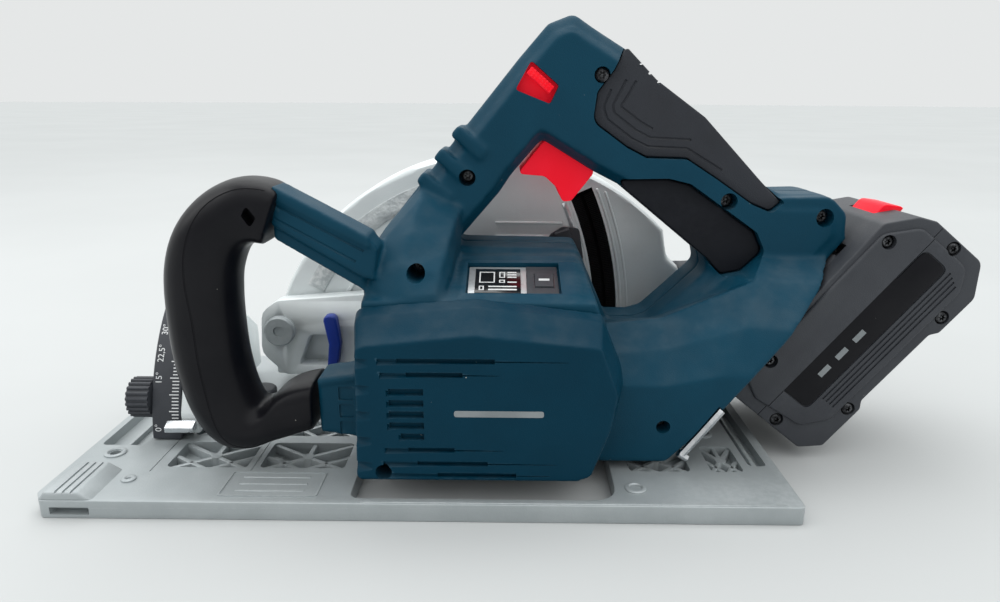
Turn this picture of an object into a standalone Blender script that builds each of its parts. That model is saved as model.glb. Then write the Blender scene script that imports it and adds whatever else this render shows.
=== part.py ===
"""Track plunge saw: a battery saw with a 140 mm blade that plunges through a sole plate on a guide rail.

The saw is modelled with its head held down at full depth, so the blade reaches 52 mm below the sole.
Frame: millimetres in this file, turned into metres by the helpers.  The origin lies on the underside of
the sole, straight below the plunge hinge.  +X points to the battery end, +Y from the motor to the blade,
and +Z up.  Rigid groups hang on empties: base, tilt, head, and one for each smaller moving piece.
"""
import math

import bmesh
import bpy
from mathutils import Matrix, Vector

MM = 0.001
GAP = 0.3

# Sole plate
PLATE_FRONT = -80.0
PLATE_REAR = 270.0
PLATE_NEAR = -89.0
PLATE_FAR = 97.0
PLATE_THICK = 9.0
POCKET_FLOOR = 3.5
FRONT_CAM = (-13.0, 27.0)
REAR_CAM = (215.0, 27.0)
CAM_BORE_R = 5.3
CLAMP_BORE_R = 2.7

# Tilt axis: along X, on the underside of the sole and in the plane of the blade
TILT_Y = 70.0
FRONT_ARC_OUT = 101.0
FRONT_ARC_IN = 86.0
FRONT_ARC_X = (-49.6, -36.0)
REAR_ARC_OUT = 46.0
REAR_ARC_IN = 34.0
REAR_ARC_X = (240.4, 248.0)

# Plunge hinge: along Y, in the front of the guard
HINGE_X = 0.0
HINGE_Z = 50.0
HINGE_PIN_R = 4.0
PLUNGE_DEG = 20.0
SPRING_R = 5.2
SPRING_WIRE_R = 0.6

# Blade and drive line, all axes along Y
BLADE_R = 70.0
BLADE_THICK = 1.8
ARBOR = (150.0, 18.0)
IDLER = (137.0, 34.5)
MOTOR = (124.0, 51.0)
GEAR_MODULE = 1.0
PINION_TEETH = 14
WHEEL_TEETH = 28
GEAR_ROOM = 15.3
GUIDE_PIN = (195.9, 47.0)

# Guard, two castings around the blade
GUARD_CENTRE = (127.0, 13.7)
GUARD_R = 139.3
GUARD_WALL = 3.0
GUARD_NEAR_Y = 50.0
GUARD_FAR_Y = 88.0

# Handle frame: two mouldings that meet on this plane
SPLIT_Y = 10.0
COVER_NEAR_Y = -80.0
BLOCK_NEAR_Y = -58.3
SLOPE_FOOT = (-55.0, 95.0)
SHOULDER_ANGLE = math.atan2(10.0, 20.0)
SLOPE_ANGLE = math.atan2(10.0, 33.0)
FRAME_NEAR_Y = -14.0
FRAME_FAR_Y = 34.0

# Battery, laid along the sloping seam of the handle frame
SEAM_FOOT = (249.0, 42.0)
SEAM_DEG = 51.5
BATTERY_LENGTH = 128.0
BATTERY_HEIGHT = 64.0
BATTERY_WIDTH = 79.0

BLUE = (0.010, 0.085, 0.125)
BLACK = (0.012, 0.012, 0.014)
RED = (0.70, 0.012, 0.018)
CAST_GREY = (0.42, 0.43, 0.44)
STEEL = (0.55, 0.56, 0.58)
COBALT = (0.010, 0.050, 0.330)
COPPER = (0.60, 0.22, 0.09)
GREEN = (0.010, 0.130, 0.050)


# ---------------------------------------------------------------- scene

for leftover in list(bpy.data.objects):
    bpy.data.objects.remove(leftover, do_unlink=True)

PARTS = bpy.data.collections.new("track_plunge_saw")
CUTTERS = bpy.data.collections.new("cutters")
bpy.context.scene.collection.children.link(PARTS)
bpy.context.scene.collection.children.link(CUTTERS)
MATERIALS = {}
EMPTIES = {}


def finish_material(name, colour, roughness, metallic):
    """One Principled material for each finish."""
    if name not in MATERIALS:
        material = bpy.data.materials.new(name)
        material.use_nodes = True
        shader = material.node_tree.nodes["Principled BSDF"]
        shader.inputs["Base Color"].default_value = (*colour, 1.0)
        shader.inputs["Roughness"].default_value = roughness
        shader.inputs["Metallic"].default_value = metallic
        MATERIALS[name] = material
    return MATERIALS[name]


def blue_plastic():
    return finish_material("blue_plastic", BLUE, 0.50, 0.0)


def black_plastic():
    return finish_material("black_plastic", BLACK, 0.45, 0.0)


def soft_grip():
    return finish_material("soft_grip", BLACK, 0.75, 0.0)


def red_plastic():
    return finish_material("red_plastic", RED, 0.35, 0.0)


def cobalt_plastic():
    return finish_material("cobalt_plastic", COBALT, 0.40, 0.0)


def cast_metal():
    return finish_material("cast_metal", CAST_GREY, 0.45, 1.0)


def bright_steel():
    return finish_material("bright_steel", STEEL, 0.28, 1.0)


def cell_steel():
    return finish_material("cell_steel", STEEL, 0.35, 1.0)


def copper():
    return finish_material("copper", COPPER, 0.35, 1.0)


def circuit():
    return finish_material("circuit", GREEN, 0.40, 0.0)


def pivot(name, place, parent=None, turn_y_deg=0.0):
    """An empty on a joint's axis, placed in world millimetres."""
    empty = bpy.data.objects.new(name, None)
    PARTS.objects.link(empty)
    empty.empty_display_size = 0.01
    spot = Vector(place) * MM
    matrix = Matrix.Translation(spot) @ Matrix.Rotation(math.radians(turn_y_deg), 4, "Y")
    hang(empty, matrix, parent)
    EMPTIES[name] = empty
    return name


def hang(thing, matrix, parent):
    """Give an object its world matrix under a parent empty."""
    thing["world"] = [value for row in matrix for value in row]
    if parent:
        thing.parent = EMPTIES[parent]
        matrix = world_of(EMPTIES[parent]).inverted() @ matrix
    thing.matrix_parent_inverse = Matrix.Identity(4)
    thing.location = matrix.to_translation()
    thing.rotation_euler = matrix.to_euler()


def world_of(thing):
    values = list(thing["world"])
    return Matrix([values[row * 4:row * 4 + 4] for row in range(4)])


# ---------------------------------------------------------------- outlines

def arc(centre, radius, start_deg, end_deg, steps):
    """Points on an arc, in the order of the angles."""
    points = []
    for step in range(steps + 1):
        angle = math.radians(start_deg + (end_deg - start_deg) * step / steps)
        points.append((centre[0] + radius * math.cos(angle), centre[1] + radius * math.sin(angle)))
    return points


def circle(centre, radius, steps=32):
    return arc(centre, radius, 0.0, 360.0, steps)[:-1]


def rounded(corners, steps=2):
    """An outline of (x, z, radius) corners with each corner turned into a short arc."""
    points = []
    count = len(corners)
    for index, corner in enumerate(corners):
        here = Vector(corner[:2])
        radius = corner[2] if len(corner) > 2 else 0.0
        before = Vector(corners[index - 1][:2]) - here
        after = Vector(corners[(index + 1) % count][:2]) - here
        reach = min(before.length, after.length) * 0.45
        angle = before.angle(after)
        if radius < 0.01 or angle > math.radians(176.0):
            points.append(tuple(here))
            continue
        cut = min(radius / math.tan(angle / 2.0), reach)
        first = here + before.normalized() * cut
        last = here + after.normalized() * cut
        for step in range(steps + 1):
            t = step / steps
            spot = first * (1 - t) ** 2 + here * 2 * t * (1 - t) + last * t ** 2
            points.append(tuple(spot))
    return points


def box_outline(low, high, radius=0.0):
    return rounded([(low[0], low[1], radius), (high[0], low[1], radius),
                    (high[0], high[1], radius), (low[0], high[1], radius)])


def rack_teeth(centre, teeth, phase_deg, clearance=0.30):
    """A spur gear's outline with straight-sided teeth, slim enough to run freely."""
    pitch_r = teeth * GEAR_MODULE / 2.0
    pitch_deg = 360.0 / teeth
    tip = 0.16 - 0.02 * clearance
    flank = 0.25 - 0.06 * clearance
    points = []
    for tooth in range(teeth):
        middle = phase_deg + tooth * pitch_deg
        for side, radius in ((-flank - 0.06, pitch_r - 1.25), (-tip, pitch_r + 0.80),
                             (tip, pitch_r + 0.80), (flank + 0.06, pitch_r - 1.25)):
            angle = math.radians(middle + side * pitch_deg)
            points.append((centre[0] + radius * math.cos(angle), centre[1] + radius * math.sin(angle)))
    return points


# ---------------------------------------------------------------- solids

PLANES = {
    "XY": Matrix.Identity(3),
    "XZ": Matrix.Rotation(math.radians(90.0), 3, "X"),
    "YZ": Matrix.Rotation(math.radians(90.0), 3, "Z") @ Matrix.Rotation(math.radians(90.0), 3, "X"),
}


def new_object(name, mesh, collection):
    thing = bpy.data.objects.new(name, mesh)
    collection.objects.link(thing)
    return thing


def flat_mesh(name, loops, thickness):
    """A flat outline as a filled 2D curve, extruded, then made a welded mesh."""
    curve = bpy.data.curves.new(name + "_outline", "CURVE")
    curve.dimensions = "2D"
    curve.fill_mode = "BOTH"
    curve.extrude = thickness * MM / 2.0
    for loop in loops:
        spline = curve.splines.new("POLY")
        spline.points.add(len(loop) - 1)
        for point, (x, y) in zip(spline.points, loop):
            point.co = (x * MM, y * MM, 0.0, 1.0)
        spline.use_cyclic_u = True
    holder = new_object(name + "_outline", curve, CUTTERS)
    bpy.context.view_layer.update()
    evaluated = holder.evaluated_get(bpy.context.evaluated_depsgraph_get())
    mesh = bpy.data.meshes.new_from_object(evaluated)
    bpy.data.objects.remove(holder, do_unlink=True)
    work = bmesh.new()
    work.from_mesh(mesh)
    bmesh.ops.remove_doubles(work, verts=work.verts, dist=0.00001)
    bmesh.ops.dissolve_limit(work, angle_limit=0.002, verts=work.verts, edges=work.edges)
    bmesh.ops.recalc_face_normals(work, faces=work.faces)
    work.to_mesh(mesh)
    work.free()
    return mesh


def slab(name, plane, loops, low, high, centre=(0.0, 0.0)):
    """A mesh, its axis plane and its middle, for an outline that runs from low to high."""
    shifted = [[(x - centre[0], y - centre[1]) for x, y in loop] for loop in loops]
    mesh = flat_mesh(name, shifted, high - low)
    middle = (low + high) / 2.0
    spot = {"XY": (centre[0], centre[1], middle),
            "XZ": (centre[0], middle, centre[1]),
            "YZ": (middle, centre[0], centre[1])}[plane]
    return mesh, Matrix.Translation(Vector(spot) * MM) @ PLANES[plane].to_4x4()


def part(name, mesh, matrix, material, parent):
    """A named piece of the saw under the empty of its rigid group."""
    thing = new_object(name, mesh, PARTS)
    mesh.materials.clear()
    mesh.materials.append(material)
    hang(thing, matrix, parent)
    return thing


def flat_part(name, plane, loops, low, high, material, parent, centre=(0.0, 0.0)):
    mesh, matrix = slab(name, plane, loops, low, high, centre)
    return part(name, mesh, matrix, material, parent)


def flat_cutter(name, plane, loops, low, high):
    mesh, matrix = slab(name, plane, loops, low, high)
    return cutter(name, mesh, matrix)


def cutter(name, mesh, matrix):
    thing = new_object(name, mesh, CUTTERS)
    thing["world"] = [value for row in matrix for value in row]
    thing.matrix_world = matrix
    thing.hide_render = True
    thing.display_type = "WIRE"
    return thing


def box_mesh(name, size):
    mesh = bpy.data.meshes.new(name)
    work = bmesh.new()
    bmesh.ops.create_cube(work, size=1.0)
    bmesh.ops.scale(work, vec=Vector(size) * MM, verts=work.verts)
    work.to_mesh(mesh)
    work.free()
    return mesh


def rod_mesh(name, radius, length, steps, radius_end=None):
    """A cylinder or cone along its local Z."""
    mesh = bpy.data.meshes.new(name)
    work = bmesh.new()
    bmesh.ops.create_cone(work, cap_ends=True, segments=steps, radius1=radius * MM,
                          radius2=(radius if radius_end is None else radius_end) * MM, depth=length * MM)
    work.to_mesh(mesh)
    work.free()
    return mesh


AXES = {
    "X": Matrix.Rotation(math.radians(90.0), 4, "Y"),
    "Y": Matrix.Rotation(math.radians(-90.0), 4, "X"),
    "Z": Matrix.Identity(4),
}


def rod_place(axis, low, high, centre):
    """The matrix of a rod from low to high along an axis, with its centre in the other two."""
    middle = (low + high) / 2.0
    spot = {"X": (middle, centre[0], centre[1]),
            "Y": (centre[0], middle, centre[1]),
            "Z": (centre[0], centre[1], middle)}[axis]
    return Matrix.Translation(Vector(spot) * MM) @ AXES[axis]


def rod_part(name, axis, radius, low, high, centre, material, parent, steps=24, radius_end=None):
    mesh = rod_mesh(name, radius, high - low, steps, radius_end)
    thing = part(name, mesh, rod_place(axis, low, high, centre), material, parent)
    smooth(thing)
    return thing


def rod_cutter(name, axis, radius, low, high, centre, steps=24):
    return cutter(name, rod_mesh(name, radius, high - low, steps), rod_place(axis, low, high, centre))


def box_cutter(name, low, high):
    size = [high[i] - low[i] for i in range(3)]
    middle = [(high[i] + low[i]) / 2.0 for i in range(3)]
    return cutter(name, box_mesh(name, size), Matrix.Translation(Vector(middle) * MM))


def box_part(name, low, high, material, parent):
    size = [high[i] - low[i] for i in range(3)]
    middle = [(high[i] + low[i]) / 2.0 for i in range(3)]
    return part(name, box_mesh(name, size), Matrix.Translation(Vector(middle) * MM), material, parent)


def turned(name, profile, axis, centre, material, parent, steps=32):
    """A turned piece: a closed or axis-to-axis profile of (radius, height), turned by a Screw modifier."""
    mesh = bpy.data.meshes.new(name)
    closed = profile[0][0] > 0.0
    edges = [(i, i + 1) for i in range(len(profile) - 1)]
    if closed:
        edges.append((len(profile) - 1, 0))
    mesh.from_pydata([(r * MM, 0.0, h * MM) for r, h in profile], edges, [])
    thing = part(name, mesh, rod_place(axis, 0.0, 0.0, centre), material, parent)
    screw = thing.modifiers.new("turn", "SCREW")
    screw.steps = steps
    screw.render_steps = steps
    screw.use_merge_vertices = True
    screw.merge_threshold = 0.00001
    screw.use_smooth_shade = True
    return thing


def join(thing, tools):
    """Boolean unions, in order."""
    for tool in tools:
        boolean(thing, tool, "UNION")


def cut(thing, tools):
    """Boolean cuts, in order."""
    for tool in tools:
        boolean(thing, tool, "DIFFERENCE")


def boolean(thing, tool, operation):
    modifier = thing.modifiers.new(operation.lower() + "_" + tool.name, "BOOLEAN")
    modifier.operation = operation
    modifier.solver = "EXACT"
    modifier.object = tool


def soften(thing, width, segments=1):
    """Rounded or chamfered edges."""
    modifier = thing.modifiers.new("edges", "BEVEL")
    modifier.width = width * MM
    modifier.segments = segments
    modifier.limit_method = "ANGLE"
    modifier.angle_limit = math.radians(40.0)
    modifier.use_clamp_overlap = True


def smooth(thing):
    thing.data.shade_smooth()
    thing.data.set_sharp_from_angle(angle=math.radians(35.0))


# ---------------------------------------------------------------- rigid groups

def rigid_groups():
    """The empties: the saw's tree of moving bodies, each on its joint's axis."""
    pivot("base", (0.0, 0.0, 0.0))
    pivot("tilt", (0.0, TILT_Y, 0.0), "base")
    pivot("head", (HINGE_X, TILT_Y, HINGE_Z), "tilt")
    pivot("blade_spin", (ARBOR[0], TILT_Y, ARBOR[1]), "head")
    pivot("idler_spin", (IDLER[0], 20.0, IDLER[1]), "head")
    pivot("rotor_spin", (MOTOR[0], 0.0, MOTOR[1]), "head")
    pivot("trigger_slide", (160.0, SPLIT_Y, 145.0), "head")
    pivot("lock_off_slide", (148.0, SPLIT_Y, 192.0), "head")
    pivot("battery_slide", (SEAM_FOOT[0], SPLIT_Y, SEAM_FOOT[1]), "head", -SEAM_DEG)
    pivot("release_button", (330.0, SPLIT_Y, 135.0), "battery_slide", -SEAM_DEG)
    pivot("key_slide", (228.0, -58.0, 28.0), "head")
    pivot("panel_button", (157.0, -36.0, 100.0), "head")
    pivot("lever_turn", (29.0, 32.0, 56.0), "head")
    pivot("depth_stop_turn", (HINGE_X, 48.0, HINGE_Z), "tilt")
    pivot("dust_port_turn", (238.0, 69.0, 68.0), "tilt")
    pivot("front_knob_turn", (-57.0, *on_tilt_arc(93.5, 18.0)), "tilt")
    pivot("rear_knob_turn", (255.0, *on_tilt_arc(40.0, 28.0)), "tilt")
    pivot("front_cam_turn", (FRONT_CAM[0], FRONT_CAM[1], PLATE_THICK), "base")
    pivot("rear_cam_turn", (REAR_CAM[0], REAR_CAM[1], PLATE_THICK), "base")


def on_tilt_arc(radius, degrees):
    """The (y, z) of a point on the near side of the tilt axis, that many degrees above the sole."""
    angle = math.radians(degrees)
    return TILT_Y - radius * math.cos(angle), radius * math.sin(angle)


# ---------------------------------------------------------------- base

def base_plate():
    """The cast sole: a rim, a cut-out for the motor, the blade slot and blind pockets between ribs."""
    outline = rounded([(PLATE_FRONT, -82.0, 3.0), (PLATE_FRONT + 5.0, PLATE_NEAR, 3.0),
                       (PLATE_REAR, PLATE_NEAR, 3.0), (PLATE_REAR, PLATE_FAR, 8.0),
                       (PLATE_FRONT + 10.0, PLATE_FAR, 8.0), (PLATE_FRONT, PLATE_FAR - 10.0, 8.0)])
    opening = rounded([(64.0, -84.0, 5.0), (186.0, -84.0, 12.0), (188.0, 46.0, 4.0), (178.0, 46.0, 2.0),
                       (178.0, 63.0, 2.0), (226.0, 63.0, 4.0), (226.0, 88.0, 4.0), (178.0, 88.0, 1.0),
                       (178.0, 92.5, 2.0), (122.0, 92.5, 2.0), (122.0, 88.0, 1.0), (72.0, 88.0, 4.0),
                       (72.0, 63.0, 4.0), (122.0, 63.0, 2.0), (122.0, 46.0, 2.0), (64.0, 46.0, 4.0)])
    plate = flat_part("base_plate", "XY", [outline, opening], 0.0, PLATE_THICK, cast_metal(), "base")
    pockets = [((-74.0, -30.0), (-52.0, 30.0)), ((-32.0, -58.0), (8.0, -32.0)), ((14.0, -58.0), (56.0, -32.0)),
               ((-32.0, -24.0), (8.0, 10.0)), ((14.0, -24.0), (56.0, 10.0)), ((14.0, 18.0), (56.0, 44.0)),
               ((196.0, -58.0), (226.0, -32.0)),
               ((196.0, -24.0), (232.0, 12.0)), ((256.0, -50.0), (264.0, 20.0))]
    for index, (low, high) in enumerate(pockets):
        tool = flat_cutter(f"pocket_{index}", "XY", [box_outline(low, high, 4.0)], POCKET_FLOOR, 12.0)
        cut(plate, [tool])
    cut(plate, [rod_cutter("front_cam_bore", "Z", CAM_BORE_R, POCKET_FLOOR, 12.0, FRONT_CAM, 20)])
    cut(plate, [rod_cutter("rear_cam_bore", "Z", CAM_BORE_R, POCKET_FLOOR, 12.0, REAR_CAM, 20)])
    groove = box_cutter("rail_groove", (-100.0, 20.0, -2.0), (300.0, 34.0, 1.6))
    slot = box_cutter("rim_slot", (-71.0, -95.0, 2.0), (-53.0, -84.0, 6.0))
    cut(plate, [groove, slot])
    return plate


def glide_strip():
    """The low-friction strip stuck in the sole's rail groove."""
    return box_part("glide_strip", (-60.0, 20.4, 0.3), (60.0, 33.6, 1.3), black_plastic(), "base")


def tilt_arc(radius, start, end, steps):
    """Points at the near side of the tilt axis from one angle above the sole to another."""
    points = []
    for step in range(steps + 1):
        y, z = on_tilt_arc(radius, start + (end - start) * step / steps)
        points.append((y, z))
    return points


def quadrant(name, inner, outer, slot, x_range, top, slot_range, foot):
    """A curved arm on the base with a slot around the tilt axis, on a foot that stands on the plate."""
    start_out = math.degrees(math.asin(foot / outer))
    start_in = math.degrees(math.asin(foot / inner))
    band = tilt_arc(outer, start_out, top, 12)
    band += list(reversed(tilt_arc(inner, start_in, top, 12)))
    middle = (inner + outer) / 2.0
    hole = tilt_arc(middle + slot, slot_range[0], slot_range[1], 10)
    hole += list(reversed(tilt_arc(middle - slot, slot_range[0], slot_range[1], 10)))
    return flat_part(name, "YZ", [band, hole], x_range[0], x_range[1], black_plastic(), "base")


def front_quadrant():
    arm = quadrant("front_quadrant", FRONT_ARC_IN, FRONT_ARC_OUT, 2.6, FRONT_ARC_X, 71.5, (14.5, 67.6),
                   PLATE_THICK + GAP)
    soften(arm, 0.8)
    return arm


def rear_quadrant():
    return quadrant("rear_quadrant", REAR_ARC_IN, REAR_ARC_OUT, 2.6, REAR_ARC_X, 86.0, (22.0, 80.0),
                    PLATE_THICK + GAP)


def track_cam(name, centre, parent):
    """A play adjuster: a knob on an eccentric stud that takes up the play on the guide rail."""
    stud = turned(name, [(0.0, 15.0), (8.0, 15.0), (9.0, 14.0), (9.0, 9.4), (5.0, 9.4), (5.0, 4.0), (0.0, 4.0)],
                  "Z", centre, black_plastic(), parent, 20)
    return stud


# ---------------------------------------------------------------- tilt carrier

def guard_outline(shrink, floor_front, floor_rear):
    """The guard's side view: a large arc from the front edge over the blade and down to the rear."""
    radius = GUARD_R - shrink
    front = math.degrees(math.acos((-14.0 + shrink - GUARD_CENTRE[0] + 4.0) / radius))
    points = arc(GUARD_CENTRE, radius, front, 43.0, 22)
    points += [(232.0 - shrink, 92.0 - shrink * 0.5), (240.0 - shrink, 86.0 - shrink),
               (240.0 - shrink, floor_rear), (-10.0 + shrink, floor_front)]
    return points


def arm_slot(radius, half_width, start, end, steps=12):
    """A slot around the plunge hinge."""
    centre = (HINGE_X, HINGE_Z)
    return arc(centre, radius + half_width, start, end, steps) + arc(centre, radius - half_width, end, start, steps)


def guard_inner():
    """The near guard casting: a wall with a rim, open towards the blade."""
    shell = flat_part("guard_inner", "XZ", [guard_outline(0.0, 14.5, 14.5)], GUARD_NEAR_Y, TILT_Y - GAP / 2.0,
                      cast_metal(), "tilt")
    soften(shell, 1.6)
    hollow = flat_cutter("guard_inner_hollow", "XZ", [guard_outline(GUARD_WALL, 0.0, 0.0)],
                         GUARD_NEAR_Y + GUARD_WALL, 80.0)
    neck_angle = math.degrees(math.atan2(ARBOR[1] - HINGE_Z, ARBOR[0] - HINGE_X))
    neck_radius = math.hypot(ARBOR[0] - HINGE_X, ARBOR[1] - HINGE_Z)
    neck = flat_cutter("neck_opening", "XZ",
                       [arm_slot(neck_radius, 16.5, neck_angle - 18.0, neck_angle + PLUNGE_DEG + 7.5)], 44.0, 60.0)
    brush_slot = flat_cutter("brush_slot", "XZ", [arm_slot(196.0, 7.0, -5.5, 24.5)], 44.0, 60.0)
    pin_bore = rod_cutter("guard_pin_bore_near", "Y", HINGE_PIN_R + GAP, 40.0, 60.0, (HINGE_X, HINGE_Z))
    spring_pocket = rod_cutter("spring_pocket", "Y", SPRING_R + 1.2, 53.0, 80.0, (HINGE_X, HINGE_Z), 28)
    cut(shell, [hollow, neck, brush_slot, pin_bore, spring_pocket])
    for name, (x, z) in (("guard_screw_hole_a", (34.0, 104.0)), ("guard_screw_hole_b", (200.0, 122.0))):
        cut(shell, [rod_cutter(name, "Y", 1.8, 44.0, 60.0, (x, z), 12)])
    return shell


def guard_outer():
    """The far guard casting, cut off above the sole so that it clears the plate when tilted."""
    shell = flat_part("guard_outer", "XZ", [guard_outline(0.0, 36.0, 36.0)], TILT_Y + GAP / 2.0, GUARD_FAR_Y,
                      cast_metal(), "tilt")
    soften(shell, 1.6)
    hollow = flat_cutter("guard_outer_hollow", "XZ", [guard_outline(GUARD_WALL, 20.0, 20.0)], 60.0,
                         GUARD_FAR_Y - GUARD_WALL)
    bore = rod_cutter("guard_pin_bore_far", "Y", HINGE_PIN_R + GAP, 60.0, 100.0, (HINGE_X, HINGE_Z))
    cut(shell, [hollow, bore])
    return shell


def slot_brushes():
    """The two bristle strips that close the slot behind the guide pin."""
    for name, radius in (("slot_brush_outer", 200.3), ("slot_brush_inner", 191.7)):
        flat_part(name, "XZ", [arm_slot(radius, 2.0, -4.8, 23.8)], GUARD_NEAR_Y + 0.6, GUARD_NEAR_Y + 2.6,
                  black_plastic(), "tilt")


def tilt_carrier(name, x_range, points, bolt, bore):
    """A cast arm between the guard and a quadrant."""
    arm = flat_part(name, "YZ", [rounded(points)], x_range[0], x_range[1], cast_metal(), "tilt")
    soften(arm, 0.8)
    cut(arm, [rod_cutter(name + "_bore", "X", bore, x_range[0] - 5.0, x_range[1] + 5.0, bolt, 16)])
    return arm


def front_carrier():
    bolt = on_tilt_arc(93.5, 18.0)
    points = [(-30.0, 12.5, 2.0), (68.0, 14.8, 2.0), (68.0, 42.0, 6.0), (40.0, 62.0, 8.0), (20.0, 58.0, 8.0),
              (-6.0, 42.0, 6.0), (-24.0, 38.0, 5.0), (-30.0, 24.0, 4.0)]
    return tilt_carrier("front_carrier", (-35.6, -26.6), points, bolt, CLAMP_BORE_R)


def rear_carrier():
    bolt = on_tilt_arc(40.0, 28.0)
    points = [(24.0, 12.5, 2.0), (49.6, 14.6, 1.0), (49.6, 40.0, 3.0), (40.0, 40.0, 4.0), (26.0, 30.0, 4.0)]
    return tilt_carrier("rear_carrier", (229.0, 239.6), points, bolt, CLAMP_BORE_R)


def angle_pointer():
    """The bright block that reads the bevel angle against the front quadrant."""
    block = box_part("angle_pointer", (-42.0, -36.5, 16.0), (-27.0, -31.2, 22.0), bright_steel(), "tilt")
    soften(block, 0.6)
    return block


def clamp_knob(name, centre, x_range, knob_x, radius, parent):
    """A knob on a stud that clamps a carrier to its quadrant: ribs round the knob, stud through the slot."""
    low, high = knob_x
    ribs = []
    teeth = 18
    for tooth in range(teeth):
        for part_angle, scale in ((0.0, 1.0), (0.45, 1.0), (0.55, 0.93), (0.90, 0.93)):
            angle = math.tau * (tooth + part_angle) / teeth
            ribs.append((centre[0] + radius * scale * math.cos(angle), centre[1] + radius * scale * math.sin(angle)))
    knob = flat_part(name, "YZ", [ribs], low, high, black_plastic(), parent, centre)
    stud = cutter(name + "_stud", rod_mesh(name + "_stud", 2.2, x_range[1] - x_range[0], 12),
                  rod_place("X", x_range[0], x_range[1], centre))
    join(knob, [stud])
    return knob


def front_bevel_knob():
    return clamp_knob("front_bevel_knob", on_tilt_arc(93.5, 18.0), (-60.0, -28.0), (-63.5, -50.2), 11.0,
                      "front_knob_turn")


def rear_bevel_knob():
    return clamp_knob("rear_bevel_knob", on_tilt_arc(40.0, 28.0), (231.0, 252.0), (248.8, 259.0), 8.0,
                      "rear_knob_turn")


def hinge_pin():
    """The steel pin that the saw's head swings on."""
    return rod_part("hinge_pin", "Y", HINGE_PIN_R, 33.5, 90.5, (HINGE_X, HINGE_Z), bright_steel(), "tilt", 20)


def hinge_cap():
    """The round cap over the near end of the hinge pin."""
    return turned("hinge_cap", [(0.0, 32.8), (11.0, 32.8), (12.0, 31.8), (12.0, 28.5), (9.0, 26.5), (0.0, 26.0)],
                  "Y", (HINGE_X, HINGE_Z), bright_steel(), "head", 24)


def return_spring():
    """The coil round the hinge pin inside the guard that lifts the head."""
    turns = 5
    per_turn = 12
    lead = 2.2
    coil = []
    for index in range(turns * per_turn + 1):
        angle = math.tau * index / per_turn
        coil.append((SPRING_R * math.cos(angle), SPRING_R * math.sin(angle), lead * index / per_turn))
    mesh = pipe_mesh("return_spring", coil, SPRING_WIRE_R, 0)
    matrix = rod_place("Y", 56.0, 56.0, (HINGE_X, HINGE_Z))
    return part("return_spring", mesh, matrix, bright_steel(), "tilt")


def depth_scale():
    """The curved depth scale on the guard's near wall."""
    return flat_part("depth_scale", "XZ", [arm_slot(185.2, 2.2, 2.0, 24.0)], GUARD_NEAR_Y - 1.3,
                     GUARD_NEAR_Y - GAP, bright_steel(), "tilt")


def depth_stop():
    """The stop that slides along the depth scale, with its clamping screw's head on it."""
    block = flat_part("depth_stop", "XZ", [arm_slot(177.5, 4.5, 13.5, 19.5, 4)], 42.0, GUARD_NEAR_Y - GAP,
                      black_plastic(), "depth_stop_turn", (HINGE_X, HINGE_Z))
    soften(block, 0.6)
    return block


def dust_port():
    """The dust outlet, a bent tube that swivels on the guard's rear wall."""
    mesh = bent_tube("dust_port", 18.0, 30.0, 12.0)
    thing = part("dust_port", mesh, Matrix.Translation(Vector((241.0, 69.0, 68.0)) * MM), black_plastic(),
                 "dust_port_turn")
    bore = bent_tube("dust_port_bore", 15.5, 40.0, 12.0)
    cut(thing, [cutter("dust_port_bore", bore, Matrix.Translation(Vector((238.0, 69.0, 68.0)) * MM))])
    return thing


def bent_tube(name, radius, reach, rise):
    """A tube that leaves along X and bends upwards."""
    steps = 6
    path = []
    for index in range(steps + 1):
        share = index / steps
        bend = max(0.0, share - 1.0 / steps)
        path.append((reach * share, 0.0, rise * bend * bend))
    return pipe_mesh(name, path, radius, 4)


def pipe_mesh(name, path, radius, roundness):
    """A closed round pipe along a path, as a mesh."""
    curve = bpy.data.curves.new(name + "_path", "CURVE")
    curve.dimensions = "3D"
    curve.bevel_depth = radius * MM
    curve.bevel_resolution = roundness
    curve.use_fill_caps = True
    spline = curve.splines.new("POLY")
    spline.points.add(len(path) - 1)
    for point, (x, y, z) in zip(spline.points, path):
        point.co = (x * MM, y * MM, z * MM, 1.0)
    holder = new_object(name + "_path", curve, CUTTERS)
    bpy.context.view_layer.update()
    mesh = bpy.data.meshes.new_from_object(holder.evaluated_get(bpy.context.evaluated_depsgraph_get()))
    bpy.data.objects.remove(holder, do_unlink=True)
    work = bmesh.new()
    work.from_mesh(mesh)
    bmesh.ops.remove_doubles(work, verts=work.verts, dist=0.00002)
    bmesh.ops.recalc_face_normals(work, faces=work.faces)
    work.to_mesh(mesh)
    work.free()
    return mesh


# ---------------------------------------------------------------- head: metal parts

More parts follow.
